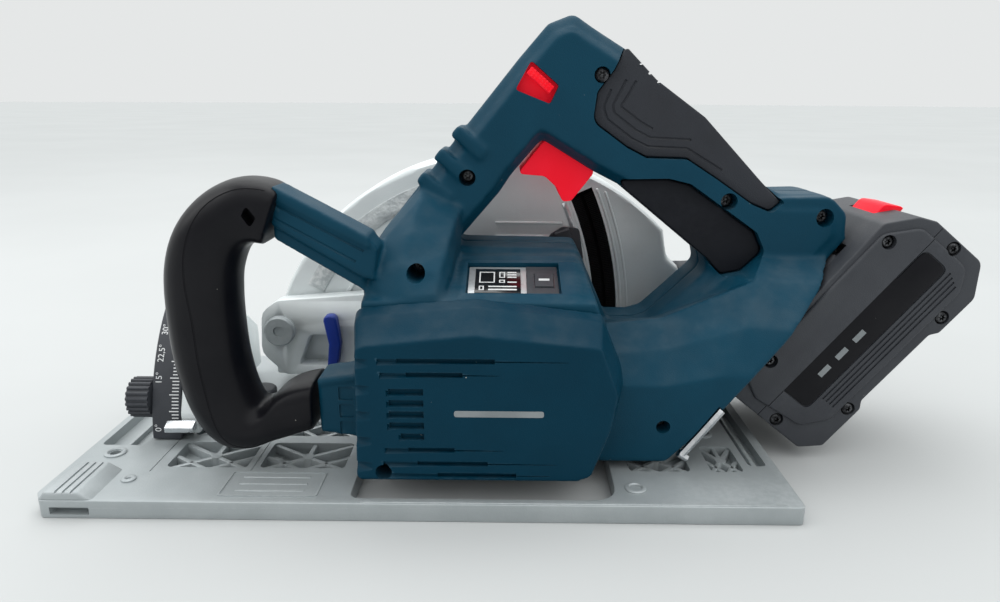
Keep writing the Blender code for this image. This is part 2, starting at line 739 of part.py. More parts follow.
def gear_case():
    """The cast gear case with its plunge arm, hollow towards the motor."""
    outline = rounded([(-12.0, 60.0, 9.0), (-2.0, 67.0, 9.0), (60.0, 72.0, 10.0), (104.0, 80.0, 12.0),
                       (126.0, 79.0, 12.0), (144.0, 70.0, 10.0), (158.0, 50.0, 10.0), (168.0, 28.0, 8.0),
                       (168.0, 8.0, 12.0), (150.0, 1.5, 12.0), (136.0, 6.0, 10.0), (124.0, 18.0, 8.0),
                       (100.0, 30.0, 8.0), (62.0, 22.0, 6.0), (0.0, 20.0, 4.0), (-14.0, 34.0, 10.0)])
    window = rounded([(8.0, 26.0, 2.0), (34.0, 26.0, 2.0), (29.0, 46.0, 3.0), (16.0, 46.0, 3.0)])
    case = flat_part("gear_case", "XZ", [outline, window], 36.0, 47.0, cast_metal(), "head",
                     (HINGE_X, HINGE_Z))
    soften(case, 0.8)
    body = flat_cutter("gear_case_body", "XZ", [train_outline(GEAR_ROOM + 2.1)], 4.0, 46.0)
    neck = rod_cutter("gear_case_neck", "Y", 15.2, 44.0, 62.0, ARBOR, 32)
    nose = flat_cutter("guide_nose", "XZ", [rounded([(140.0, 60.0), (196.0, 54.5, 6.0), (202.0, 47.0, 6.0),
                                                     (196.0, 40.0, 6.0), (150.0, 30.0)])], 36.0, 41.5)
    join(case, [body, neck, nose])
    hollow = flat_cutter("gear_case_hollow", "XZ", [train_outline(GEAR_ROOM)], 0.0, 40.0)
    bore = rod_cutter("arbor_bore", "Y", 11.3, 30.0, 70.0, ARBOR, 24)
    pin_bore = rod_cutter("plunge_arm_bore", "Y", HINGE_PIN_R + GAP, 30.0, 50.0, (HINGE_X, HINGE_Z))
    guide_bore = rod_cutter("guide_bore", "Y", 2.2, 30.0, 45.0, GUIDE_PIN, 12)
    cut(case, [hollow, bore, pin_bore, guide_bore])
    return case


def train_outline(radius):
    """One smooth outline around the three shafts of the drive line, the same distance from each."""
    points = []
    for shaft in (ARBOR, IDLER, MOTOR):
        points += [Vector(spot) for spot in circle(shaft, radius, 28)]
    return hull(points)


def guide_pin():
    """The pin on the gear case's nose that runs between the brushes."""
    return rod_part("guide_pin", "Y", 1.9, 35.6, 56.0, GUIDE_PIN, bright_steel(), "head", 12)


def bearing(name, y_low, y_high, bore, outer, centre, parent):
    return turned(name, [(outer, y_high), (outer, y_low), (bore, y_low), (bore, y_high)], "Y", centre,
                  bright_steel(), parent, 24)


def arbor_shaft():
    """The blade's shaft: gear seat, bearing seat, inner flange and the tapped nose for the bolt."""
    return turned("arbor_shaft", [(0.0, 74.2), (4.0, 74.2), (4.0, 69.0), (15.5, 69.0), (15.5, 64.5), (8.0, 64.5),
                                  (6.0, 62.0), (6.0, 9.0), (0.0, 9.0)], "Y", ARBOR, bright_steel(),
                  "blade_spin", 32)


def saw_blade():
    """The toothed blade on its bore, with hooked teeth round the rim."""
    teeth = 42
    points = []
    for tooth in range(teeth):
        for share, radius in ((0.0, BLADE_R), (0.30, BLADE_R - 1.0), (0.36, BLADE_R - 3.6), (0.80, BLADE_R - 3.6)):
            angle = -math.tau * (tooth + share) / teeth
            points.append((ARBOR[0] + radius * math.cos(angle), ARBOR[1] + radius * math.sin(angle)))
    hole = circle(ARBOR, 10.0, 32)
    return flat_part("saw_blade", "XZ", [points, hole], TILT_Y - BLADE_THICK / 2.0 + 0.3,
                     TILT_Y + BLADE_THICK / 2.0 + 0.3, bright_steel(), "blade_spin", ARBOR)


def blade_flange():
    return turned("blade_flange", [(15.5, 74.8), (15.5, 71.5), (9.7, 71.5), (9.7, 69.3), (4.3, 69.3), (4.3, 74.8)],
                  "Y", ARBOR, bright_steel(), "blade_spin", 32)


def blade_bolt():
    """The screw that clamps the blade, with a round head and a hexagon socket."""
    bolt = turned("blade_bolt", [(0.0, 78.0), (6.0, 78.0), (6.5, 77.5), (6.5, 75.1), (0.0, 75.1)], "Y", ARBOR,
                  bright_steel(), "blade_spin", 24)
    cut(bolt, [rod_cutter("blade_bolt_socket", "Y", 2.9, 76.0, 80.0, ARBOR, 6)])
    return bolt


def gear(name, centre, teeth, phase, y_low, y_high, bore, parent):
    return flat_part(name, "XZ", [rack_teeth(centre, teeth, phase), circle(centre, bore, 24)], y_low, y_high,
                     bright_steel(), parent, centre)


def gear_train():
    """Two pairs of gears: motor pinion to idler wheel, idler pinion to blade wheel."""
    line = math.degrees(math.atan2(MOTOR[1] - IDLER[1], MOTOR[0] - IDLER[0]))
    wheel_pitch = 360.0 / WHEEL_TEETH
    gear("motor_pinion", MOTOR, PINION_TEETH, line + 180.0, 12.0, 21.0, 3.3, "rotor_spin")
    gear("idler_wheel", IDLER, WHEEL_TEETH, line + wheel_pitch / 2.0, 12.0, 21.0, 4.3, "idler_spin")
    gear("idler_pinion", IDLER, PINION_TEETH, line + 180.0, 23.0, 33.0, 4.3, "idler_spin")
    gear("blade_wheel", ARBOR, WHEEL_TEETH, line + wheel_pitch / 2.0, 23.0, 33.0, 6.3, "blade_spin")
    rod_part("idler_shaft", "Y", 4.0, 8.0, 36.0, IDLER, bright_steel(), "idler_spin", 20)


def motor():
    """Stator fixed in the housing; magnet core, shaft and fan that spin."""
    turned("stator", [(31.0, -24.0), (31.0, -68.0), (20.5, -68.0), (20.5, -24.0)], "Y", MOTOR, copper(), "head", 32)
    turned("rotor_core", [(19.8, -26.0), (19.8, -66.0), (4.3, -66.0), (4.3, -26.0)], "Y", MOTOR, bright_steel(),
           "rotor_spin", 28)
    turned("motor_shaft", [(0.0, 22.0), (3.0, 22.0), (3.0, 10.0), (4.0, 10.0), (4.0, -73.0), (0.0, -73.0)], "Y",
           MOTOR, bright_steel(), "rotor_spin", 20)
    blades = []
    vanes = 9
    for vane in range(vanes):
        for share, radius in ((0.0, 27.0), (0.35, 27.0), (0.45, 12.0), (0.95, 12.0)):
            angle = math.tau * (vane + share) / vanes
            blades.append((MOTOR[0] + radius * math.cos(angle), MOTOR[1] + radius * math.sin(angle)))
    flat_part("motor_fan", "XZ", [blades, circle(MOTOR, 4.3, 20)], -20.0, -11.0, black_plastic(), "rotor_spin",
              MOTOR)


# ---------------------------------------------------------------- head: mouldings

FRAME_OUTER = [(64.0, 14.0, 4.0), (62.0, 84.0, 4.0), (68.0, 114.0, 12.0), (140.0, 202.5, 6.0), (154.0, 218.5, 3.0),
               (166.0, 223.0, 5.0), (176.0, 216.5, 4.0), (192.0, 207.0, 8.0), (207.0, 192.5, 8.0),
               (232.0, 175.0, 10.0), (262.0, 144.0, 8.0), (274.0, 138.0, 6.0), (297.0, 138.0, 8.0),
               (306.0, 129.0, 4.0), (307.5, 116.0, 0.0), (248.4, 42.2, 0.0), (236.0, 48.0, 6.0),
               (190.0, 40.0, 4.0), (186.0, 14.0, 4.0)]
FRAME_HOLE = [(107.0, 110.0, 3.0), (131.0, 138.0, 6.0), (137.0, 147.0, 4.0), (152.0, 164.5, 3.0),
              (178.0, 149.0, 4.0), (193.0, 141.5, 5.0), (238.0, 106.0, 6.0), (240.0, 98.0, 6.0),
              (224.0, 82.0, 8.0), (212.0, 70.5, 5.0), (204.0, 68.0, 2.0), (190.0, 68.0, 2.0),
              (184.0, 82.0, 4.0), (172.0, 109.0, 4.0)]
BLOCK = [(66.0, 14.0, 3.0), (180.0, 14.0, 4.0), (188.0, 62.0, 4.0), (172.0, 107.0, 5.0), (110.0, 107.0, 3.0),
         (68.0, 98.0, 5.0)]
LOWER_BAR = [(180.0, 12.5, 2.0), (214.0, 12.5, 4.0), (220.0, 18.0, 4.0), (236.0, 38.0, 3.0), (247.5, 42.0, 0.0),
             (298.0, 105.2, 2.0), (262.0, 88.0, 4.0), (238.0, 72.0, 8.0), (214.0, 51.0, 6.0), (184.0, 50.0, 3.0)]
GRIP_TOP = [(191.0, 207.0, 2.0), (186.0, 197.0, 3.0), (178.5, 187.0, 5.0), (177.0, 173.5, 7.0), (194.0, 161.5, 5.0),
            (204.0, 156.5, 4.0), (224.0, 156.0, 4.0), (240.0, 146.0, 5.0), (258.0, 134.0, 4.0), (268.0, 130.0, 3.0),
            (274.0, 134.0, 1.0), (300.0, 200.0, 0.0), (240.0, 240.0, 0.0)]
GRIP_LOW = [(192.0, 145.0, 2.0), (215.0, 145.5, 4.0), (226.0, 143.0, 5.0), (261.0, 119.0, 4.0), (266.0, 109.0, 5.0),
            (256.0, 99.0, 4.0), (238.0, 90.0, 1.0), (190.0, 130.0, 0.0)]


def frame_half(name, low, high):
    """One moulding of the handle frame: the strut, the grip bar, the lower bar and the motor block."""
    half = flat_part(name, "XZ", [rounded(FRAME_OUTER), rounded(FRAME_HOLE)], low, high, blue_plastic(), "head",
                     (HINGE_X, HINGE_Z))
    return half


def grip_recess(name, outline):
    """The step round the grip bar that a soft grip fills: the outline, less the core inside it."""
    shell = flat_cutter(name, "XZ", [rounded(outline)], -40.0, 60.0)
    core = flat_cutter(name + "_core", "XZ", [rounded(grip_core(GAP))], GRIP_Y[0] + 3.0 + GAP,
                       GRIP_Y[1] - 3.0 - GAP)
    cut(shell, [core])
    return shell


GRIP_Y = (-9.0, 29.0)


def grip_core(extra):
    """The bar inside both grips: the handle's outline less the grips' thickness."""
    step = extra
    return [(170.0, 196.0 - step), (188.0, 203.5 - step, 4.0), (203.0, 189.0 - step, 6.0),
            (229.0, 171.0 - step, 8.0), (258.0, 141.0 - step, 6.0), (290.0, 128.0, 4.0), (280.0, 96.0),
            (243.0 + step, 106.5 + step, 4.0), (196.0, 145.0 + step, 3.0), (170.0, 150.0)]


def slope_place(x, y, lift):
    """A place on the block's sloping top, lifted off it by so many millimetres."""
    run = y - SLOPE_FOOT[0]
    height = SLOPE_FOOT[1] + run * math.tan(SLOPE_ANGLE)
    tilt = Matrix.Rotation(SLOPE_ANGLE, 4, "X")
    return Matrix.Translation(Vector((x, y, height)) * MM) @ tilt @ Matrix.Translation(Vector((0.0, 0.0, lift)) * MM)


def slope_cutter(name, x_range, sink):
    """A box that lies on the slope and cuts away everything above it."""
    width = x_range[1] - x_range[0]
    middle = (x_range[0] + x_range[1]) / 2.0
    return cutter(name, box_mesh(name, (width, 60.0, 30.0)), slope_place(middle, -50.0, 15.0 - sink))


def housing_left():
    """The near moulding, with the motor block, the lower bar's bulge and the front handle's arms."""
    half = frame_half("housing_left", FRAME_NEAR_Y, SPLIT_Y - GAP / 2.0)
    soften(half, 2.5)
    block = flat_cutter("motor_block", "XZ", [rounded(BLOCK)], BLOCK_NEAR_Y, SPLIT_Y - GAP / 2.0)
    soften(block, 2.0)
    cut(block, [slope_cutter("block_slope", (60.0, 192.0), 0.0)])
    bar = flat_cutter("lower_bar", "XZ", [rounded(LOWER_BAR)], -57.0, 0.0)
    soften(bar, 3.0)
    upper_arm = flat_cutter("upper_arm", "XZ",
                            [rounded([(29.0, 121.0), (72.0, 90.0), (88.0, 96.0), (90.0, 112.0), (33.0, 145.5)])],
                            -58.0, -4.0)
    soften(upper_arm, 3.0)
    lower_arm = flat_cutter("lower_arm", "XZ",
                            [rounded([(36.0, 28.5, 2.0), (70.0, 21.0), (72.0, 62.0), (34.0, 61.0, 4.0), (28.0, 52.0)])],
                            -58.0, -12.0)
    soften(lower_arm, 3.0)
    web = flat_cutter("arm_web", "XZ", [[(62.0, 56.0), (76.0, 56.0), (100.0, 112.0), (74.0, 104.0), (66.0, 98.0)]],
                      -54.0, 0.0)
    join(half, [block, bar, upper_arm, lower_arm, web])
    cut(half, inner_cavities("left"))
    cut(half, [grip_recess("grip_top_recess_left", grow_outline(GRIP_TOP)),
               grip_recess("grip_low_recess_left", grow_outline(GRIP_LOW))])
    recess = cutter("panel_recess", box_mesh("panel_recess", (53.0, 27.6, 6.0)), slope_place(143.0, -38.0, 1.3))
    cut(half, [recess])
    key_seat = key_cutter("key_seat")
    cut(half, [key_seat])
    for index, (x, z) in enumerate(FRAME_SCREWS):
        cut(half, [rod_cutter(f"screw_well_{index}", "Y", 3.6, -70.0, FRAME_NEAR_Y + 6.0, (x, z), 16)])
    return half


FRAME_SCREWS = [(115.0, 146.0), (89.0, 97.0), (246.0, 135.0), (295.0, 127.0)]


def grow_outline(corners, amount=GAP):
    """An outline moved outwards a little, for a cutter around a piece."""
    points = [Vector(corner[:2]) for corner in corners]
    area = sum(points[i - 1].x * points[i].y - points[i].x * points[i - 1].y for i in range(len(points)))
    sign = 1.0 if area > 0.0 else -1.0
    grown = []
    for index, corner in enumerate(corners):
        before = (points[index] - points[index - 1]).normalized()
        after = (points[(index + 1) % len(points)] - points[index]).normalized()
        normal_a = Vector((before.y, -before.x)) * sign
        normal_b = Vector((after.y, -after.x)) * sign
        bisector = normal_a + normal_b
        scale = amount * 2.0 / max(bisector.length_squared, 0.5)
        spot = points[index] + bisector * scale
        grown.append((spot.x, spot.y, *corner[2:]))
    return grown


TRIGGER = [(140.0, 147.0, 2.0), (152.0, 162.0, 0.0), (160.0, 171.0, 2.0), (180.0, 158.0, 2.0), (178.5, 147.0, 2.0),
           (168.0, 133.5, 2.0), (163.5, 133.0, 2.0), (160.0, 140.5, 3.0), (154.0, 146.0, 3.0)]
TRIGGER_WAY = Vector((0.55, 0.835))
TRIGGER_TRAVEL = 6.0
LOCK_WAY = Vector((-0.65, -0.76))
LOCK_TRAVEL = 3.0


def swept_outline(corners, way, travel, amount):
    """The room a sliding outline needs: its grown shape at both ends of its travel, as one hull."""
    points = []
    for corner in grow_outline(corners, amount):
        start = Vector(corner[:2])
        points.append(start)
        points.append(start + way * (travel + amount))
    return hull(points)


def hull(points):
    """The convex hull of points, as an outline."""
    ordered = sorted((p.x, p.y) for p in points)
    rims = []
    for sequence in (ordered, list(reversed(ordered))):
        rim = []
        for p in sequence:
            while len(rim) > 1 and turn(rim[-2], rim[-1], p) <= 0.0:
                rim.pop()
            rim.append(p)
        rims += rim[:-1]
    return rims


def turn(a, b, c):
    return (b[0] - a[0]) * (c[1] - a[1]) - (b[1] - a[1]) * (c[0] - a[0])


def inner_cavities(side):
    """What is hollow inside both mouldings: the motor bay, the gear case's room, the switch, the board."""
    motor_bay = rod_cutter(f"motor_bay_{side}", "Y", 34.0, -75.0, 2.0, MOTOR, 32)
    gear_room = flat_cutter(f"gear_room_{side}", "XZ", [train_outline(GEAR_ROOM + 2.6)], 1.0, 50.0)
    trigger_room = flat_cutter(f"trigger_room_{side}", "XZ",
                               [swept_outline(TRIGGER, TRIGGER_WAY, TRIGGER_TRAVEL, 0.5)], -4.6, 24.6)
    lock_room = flat_cutter(f"lock_room_{side}", "XZ", [swept_outline(LOCK_PLATE, LOCK_WAY, LOCK_TRAVEL, 0.5)],
                            -8.6, 28.6)
    lock_window = flat_cutter(f"lock_window_{side}", "XZ", [rounded(LOCK_WINDOW)], -30.0, 50.0)
    switch_room = box_cutter(f"switch_room_{side}", (184.4, -4.5, 157.0), (204.6, 24.5, 178.0))
    board_room = box_cutter(f"board_room_{side}", (195.5, -30.0, 22.0), (224.0, 20.0, 48.0))
    return [motor_bay, gear_room, trigger_room, lock_room, lock_window, switch_room, board_room]


LOCK_WINDOW = [(146.0, 201.0, 1.0), (159.0, 190.0, 1.0), (155.0, 182.0, 1.0), (139.0, 188.0, 1.0)]
LOCK_PLATE = [(147.0, 204.0, 1.0), (163.0, 191.0, 1.0), (157.0, 182.0, 1.0), (140.0, 191.0, 1.0)]


def housing_right():
    """The far moulding, shallower, with room for the gear case in its motor block."""
    half = frame_half("housing_right", SPLIT_Y + GAP / 2.0, FRAME_FAR_Y)
    soften(half, 2.5)
    cut(half, inner_cavities("right"))
    cut(half, [grip_recess("grip_top_recess_right", grow_outline(GRIP_TOP)),
               grip_recess("grip_low_recess_right", grow_outline(GRIP_LOW))])
    cut(half, [box_cutter("far_block_relief", (56.0, 12.0, 5.0), (100.0, 60.0, 60.0)),
               box_cutter("far_foot_relief", (158.0, 12.0, 5.0), (230.0, 60.0, 46.0))])
    return half


def soft_grip_part(name, outline, core_name):
    """A rubber grip that wraps the bar on its near, far and outer sides."""
    corners = outline
    grip = flat_part(name, "XZ", [rounded(corners)], GRIP_Y[0], GRIP_Y[1], soft_grip(), "head",
                     (HINGE_X, HINGE_Z))
    core = flat_cutter(core_name, "XZ", [rounded(grip_core(0.0))], GRIP_Y[0] + 3.0, GRIP_Y[1] - 3.0)
    cut(grip, [core])
    return grip


GRIP_TOP_PIECE = GRIP_TOP[:10] + [(273.0, 134.5, 1.0), (262.5, 144.5, 6.0), (232.0, 175.5, 10.0),
                                  (207.0, 193.0, 8.0), (192.5, 207.2, 2.0)]
GRIP_LOW_PIECE = [(192.0, 145.0, 2.0), (215.0, 145.5, 4.0), (226.0, 143.0, 5.0), (261.0, 119.0, 4.0),
                  (266.0, 109.0, 5.0), (256.0, 99.0, 4.0), (246.0, 97.0, 3.0), (239.0, 104.5, 3.0),
                  (194.0, 140.5, 3.0)]


def grips():
    soft_grip_part("grip_top", GRIP_TOP_PIECE, "grip_top_core")
    soft_grip_part("grip_low", GRIP_LOW_PIECE, "grip_low_core")


MOTOR_FACE = [(67.0, 94.0, 4.0), (66.0, 15.5, 2.0), (168.0, 15.5, 2.0), (177.0, 18.0, 4.0), (185.0, 41.0, 3.0),
              (189.5, 58.0, 4.0), (188.0, 68.0, 4.0), (179.0, 94.0, 4.0)]


def motor_cover():
    """The end cap over the motor: a ribbed, slotted front wall with a sloping shoulder, open behind."""
    shell = flat_part("motor_cover", "XZ", [rounded(MOTOR_FACE)], COVER_NEAR_Y, BLOCK_NEAR_Y - GAP, blue_plastic(), "head",
                      (HINGE_X, HINGE_Z))
    soften(shell, 1.6)
    shoulder = cutter("cover_shoulder", box_mesh("cover_shoulder", (160.0, 40.0, 30.0)),
                      Matrix.Translation(Vector((125.0, -80.0, 83.0)) * MM)
                      @ Matrix.Rotation(SHOULDER_ANGLE, 4, "X")
                      @ Matrix.Translation(Vector((0.0, 5.0, 15.0)) * MM))
    hollow = rod_cutter("cover_hollow", "Y", 31.6, -77.0, -50.0, MOTOR, 32)
    cut(shell, [shoulder, hollow])
    slots = [((83.0, 57.0), (98.0, 59.5)), ((83.0, 52.0), (98.0, 54.5)), ((83.0, 46.5), (98.0, 49.0)),
             ((83.0, 41.5), (98.0, 44.0)), ((86.0, 36.0), (98.0, 38.0)), ((96.0, 73.0), (130.0, 75.0)),
             ((90.0, 67.0), (114.0, 69.0)), ((92.0, 31.0), (112.0, 33.0)), ((98.0, 25.0), (127.0, 27.0))]
    for index, (low, high) in enumerate(slots):
        cut(shell, [box_cutter(f"vent_{index}", (low[0], -84.0, low[1]), (high[0], -72.0, high[1]))])
    return shell


def display_panel():
    """The tilted control panel on the motor block."""
    panel = part("display_panel", box_mesh("display_panel", (52.0, 26.6, 1.4)), slope_place(143.0, -38.0, -0.7),
                 black_plastic(), "head")
    soften(panel, 0.3)
    well = cutter("button_well", box_mesh("button_well", (12.6, 12.6, 8.0)), slope_place(157.0, -38.0, 0.0))
    cut(panel, [well])
    return panel


def speed_button():
    """The push button in the panel that steps through the speeds."""
    button = part("speed_button", box_mesh("speed_button", (12.0, 12.0, 1.4)), slope_place(157.0, -38.0, -0.2),
                  black_plastic(), "panel_button")
    soften(button, 0.3)
    return button


def front_handle():
    """The black D handle: a closed loop of round section around the blue arms' ends."""
    outer = rounded([(30.0, 151.0, 4.0), (13.0, 149.5, 12.0), (-16.0, 132.0, 22.0), (-26.0, 100.0, 20.0),
                     (-25.0, 62.0, 20.0), (-18.0, 30.0, 14.0), (-5.0, 16.2, 12.0), (8.0, 16.2, 8.0),
                     (35.6, 27.8, 2.0), (27.5, 52.5, 3.0), (20.0, 42.0, 6.0), (12.0, 58.0, 14.0),
                     (10.5, 84.0, 16.0), (12.5, 112.0, 10.0), (27.5, 122.0, 4.0)], 4)
    handle = flat_part("front_handle", "XZ", [outer], -62.0, -28.0, black_plastic(), "head", (HINGE_X, HINGE_Z))
    soften(handle, 6.0, 2)
    socket_top = flat_cutter("handle_socket_top", "XZ",
                             [rounded([(28.7, 120.8), (72.0, 89.7), (90.3, 112.3), (32.8, 146.0)])], -58.4, -3.0)
    socket_low = flat_cutter("handle_socket_low", "XZ",
                             [rounded([(35.6, 28.0), (71.0, 20.0), (73.0, 63.0), (33.8, 61.6), (27.4, 52.0)])],
                             -58.4, -11.0)
    cut(handle, [socket_top, socket_low])
    smooth(handle)
    return handle


def trigger():
    piece = flat_part("trigger", "XZ", [rounded(TRIGGER)], -4.0, 24.0, red_plastic(), "trigger_slide",
                      (160.0, 145.0))
    soften(piece, 0.8)
    return piece


def lock_off():
    """The lock-off: a plate behind the windows with a thumb ridge on each side."""
    plate = flat_part("lock_off", "XZ", [rounded(LOCK_PLATE)], -8.0, 28.0, red_plastic(), "lock_off_slide",
                      (148.0, 192.0))
    ridge = flat_cutter("lock_off_ridge", "XZ",
                        [[(146.5, 199.0), (157.6, 189.6), (155.6, 187.2), (144.5, 196.6)]], -12.5, 32.5)
    join(plate, [ridge])
    return plate


def switch_module():
    return box_part("switch_module", (185.0, -4.0, 158.0), (204.0, 24.0, 177.0), black_plastic(), "head")


def control_board():
    return box_part("control_board", (197.0, -24.0, 24.0), (222.0, 16.0, 26.0), circuit(), "head")


def key_outline(grow):
    return [(219.0 - grow, 17.0 - grow * 0.4), (223.0 + grow, 14.6 - grow), (241.0 + grow, 39.2 + grow * 0.4),
            (237.0 - grow, 41.8 + grow)]


def key_cutter(name):
    return flat_cutter(name, "XZ", [key_outline(0.8)], -62.0, -52.6)


def hex_key():
    """The hexagon key for the blade bolt, clipped in the lower bar."""
    return flat_part("hex_key", "XZ", [key_outline(0.0)], -57.5, -53.2, bright_steel(), "key_slide",
                     (228.0, 28.0))


def lock_lever():
    """The lever that latches the head in its lowest position."""
    outline = rounded([(26.0, 60.0, 3.0), (34.0, 60.0, 3.0), (36.0, 42.0, 2.0), (33.0, 24.5, 3.0),
                       (27.0, 24.5, 3.0), (29.0, 42.0, 2.0)])
    lever = flat_part("lock_lever", "XZ", [outline], 29.0, 35.6, cobalt_plastic(), "lever_turn", (29.0, 56.0))
    soften(lever, 0.8)
    return lever


# ---------------------------------------------------------------- battery

def battery_matrix(u, across, v):
    """A place in the battery's own frame: along the seam, across the saw, and away from the seam."""
    return (Matrix.Translation(Vector((SEAM_FOOT[0], SPLIT_Y, SEAM_FOOT[1])) * MM)
            @ Matrix.Rotation(math.radians(-SEAM_DEG), 4, "Y")
            @ Matrix.Translation(Vector((u, across, -v)) * MM))


def battery_slab(name, loops, low, high):
    """An outline in the battery's side view, extruded across the saw."""
    flipped = [[(u, -v) for u, v in loop] for loop in loops]
    mesh = flat_mesh(name, flipped, high - low)
    matrix = battery_matrix(0.0, (low + high) / 2.0, 0.0) @ PLANES["XZ"].to_4x4()
    return mesh, matrix


def battery():
    """The battery: an upper case with the rail channel, a lower case, and the cells between them."""
    half = BATTERY_WIDTH / 2.0
    top = rounded([(0.0, 0.4, 1.0), (111.0, 0.4, 6.0), (123.0, 12.0, 6.0), (125.8, 21.0, 2.0), (125.8, 24.0),
                   (-1.8, 24.0), (-1.8, 14.0, 3.0)])
    mesh, matrix = battery_slab("battery_top", [top], -half, half)
    upper = part("battery_top", mesh, matrix, black_plastic(), "battery_slide")
    soften(upper, 1.6)
    channel = cutter("rail_channel", box_mesh("rail_channel", (112.0, 50.6, 8.6)),
                     battery_matrix(36.0, 0.0, 3.9))
    cells_room = cutter("cells_room_top", box_mesh("cells_room_top", (106.0, 70.0, 20.0)),
                        battery_matrix(62.0, 0.0, 21.0))
    button_room = cutter("button_room", box_mesh("button_room", (16.0, 27.0, 10.6)), battery_matrix(118.0, 0.0, 11.0))
    cut(upper, [channel, cells_room, button_room])
    low = rounded([(-1.8, 24.4), (125.8, 24.4), (125.8, 54.0, 8.0), (114.0, 63.8, 8.0), (6.0, 63.8, 4.0),
                   (-1.8, 54.0, 4.0)])
    mesh, matrix = battery_slab("battery_case", [low], -half, half)
    lower = part("battery_case", mesh, matrix, black_plastic(), "battery_slide")
    soften(lower, 2.0)
    room = cutter("cells_room_low", box_mesh("cells_room_low", (114.0, 73.0, 50.0)), battery_matrix(62.0, 0.0, 35.0))
    cut(lower, [room])
    cell_pack()


def cell_pack():
    """Ten round cells in two rows, held together as one pack."""
    radius = 10.6
    pitch = 21.0
    loops = []
    for row, v in enumerate((24.5, 45.5)):
        for index in range(5):
            loops.append((20.0 + index * pitch, v))
    first = loops[0]
    mesh = rod_mesh("cell_pack", radius, 68.0, 12)
    pack = part("cell_pack", mesh, battery_matrix(first[0], 0.0, first[1]) @ AXES["Y"], cell_steel(),
                "battery_slide")
    spine = cutter("cell_spine", box_mesh("cell_spine", (88.0, 66.0, 24.0)), battery_matrix(62.0, 0.0, 35.0))
    join(pack, [spine])
    for index, (u, v) in enumerate(loops[1:]):
        cell = cutter(f"cell_{index + 2}", rod_mesh(f"cell_{index + 2}", radius, 68.0, 12),
                      battery_matrix(u, 0.0, v) @ AXES["Y"])
        join(pack, [cell])


def battery_shoe():
    """The rail on the handle frame that the battery slides along, with its contact block."""
    shoe = part("battery_shoe", box_mesh("battery_shoe", (78.0, 49.6, 6.8)), battery_matrix(46.0, 0.0, 4.2),
                black_plastic(), "head")
    notch = cutter("shoe_notch", box_mesh("shoe_notch", (40.0, 26.0, 3.0)), battery_matrix(46.0, 0.0, 7.0))
    cut(shoe, [notch])
    return shoe


def battery_button():
    """The red button that frees the battery."""
    button = part("battery_button", box_mesh("battery_button", (13.0, 26.0, 9.6)),
                  battery_matrix(118.4, 0.0, 11.0), red_plastic(), "release_button")
    return button


def screws():
    """The screws that can be seen on the near side, each in its well."""
    for index, (x, z) in enumerate(FRAME_SCREWS):
        y = FRAME_NEAR_Y + 6.0 - GAP
        profile = [(0.0, y), (3.2, y), (3.2, y - 2.6), (2.6, y - 3.0), (0.0, y - 3.0)]
        turned(f"housing_screw_{index + 1}", profile, "Y", (x, z), bright_steel(), "head", 12)


# ---------------------------------------------------------------- build

def build():
    rigid_groups()
    base_plate()
    glide_strip()
    front_quadrant()
    rear_quadrant()
    track_cam("front_cam", FRONT_CAM, "front_cam_turn")
    track_cam("rear_cam", REAR_CAM, "rear_cam_turn")
    guard_inner()
    guard_outer()
    slot_brushes()
    front_carrier()
    rear_carrier()
    angle_pointer()
    front_bevel_knob()
    rear_bevel_knob()
    hinge_pin()
    hinge_cap()
    return_spring()
    depth_scale()
    depth_stop()
    dust_port()
    gear_case()
    guide_pin()
    bearing("arbor_bearing", 46.5, 55.5, 6.3, 11.0, ARBOR, "head")
    arbor_shaft()
    saw_blade()
    blade_flange()
    blade_bolt()
    gear_train()
    motor()
    housing_left()
    housing_right()
    grips()
    motor_cover()
    display_panel()
    speed_button()
    front_handle()
    trigger()
    lock_off()
    switch_module()
    control_board()
    hex_key()
    lock_lever()
    battery()
    battery_shoe()
    battery_button()
    screws()


build()
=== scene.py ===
# %% [markdown]
# # A track plunge saw
# This lesson dresses a finished CAD model of a battery plunge saw. The CAD model fixes every size and
# every joint, so nothing here moves it. Each cell builds one real piece or one real finish around it.

# %% Load the CAD model
import math

import bmesh
import bpy
from mathutils import Matrix, Vector


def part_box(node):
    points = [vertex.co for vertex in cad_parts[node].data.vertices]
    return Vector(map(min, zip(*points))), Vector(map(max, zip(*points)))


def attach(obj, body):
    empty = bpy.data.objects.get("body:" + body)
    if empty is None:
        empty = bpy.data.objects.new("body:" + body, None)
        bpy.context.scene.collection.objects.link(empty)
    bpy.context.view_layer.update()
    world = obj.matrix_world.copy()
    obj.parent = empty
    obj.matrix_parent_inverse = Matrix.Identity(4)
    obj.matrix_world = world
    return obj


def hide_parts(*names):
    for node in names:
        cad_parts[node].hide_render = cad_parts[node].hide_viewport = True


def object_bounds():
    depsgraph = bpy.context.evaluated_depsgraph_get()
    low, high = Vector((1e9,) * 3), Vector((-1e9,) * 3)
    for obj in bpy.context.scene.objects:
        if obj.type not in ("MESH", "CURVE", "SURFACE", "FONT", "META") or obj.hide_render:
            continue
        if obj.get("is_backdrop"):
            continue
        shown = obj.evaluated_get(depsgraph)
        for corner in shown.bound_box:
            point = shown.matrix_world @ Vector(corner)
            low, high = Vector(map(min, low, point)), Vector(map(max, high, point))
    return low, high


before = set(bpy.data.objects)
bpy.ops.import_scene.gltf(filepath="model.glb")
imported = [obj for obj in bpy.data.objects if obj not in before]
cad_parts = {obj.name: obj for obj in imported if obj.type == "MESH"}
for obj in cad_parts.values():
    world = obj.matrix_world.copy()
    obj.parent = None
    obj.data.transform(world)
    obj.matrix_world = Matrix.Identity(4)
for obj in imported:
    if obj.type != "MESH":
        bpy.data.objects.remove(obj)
cad_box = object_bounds()
MM = 0.001

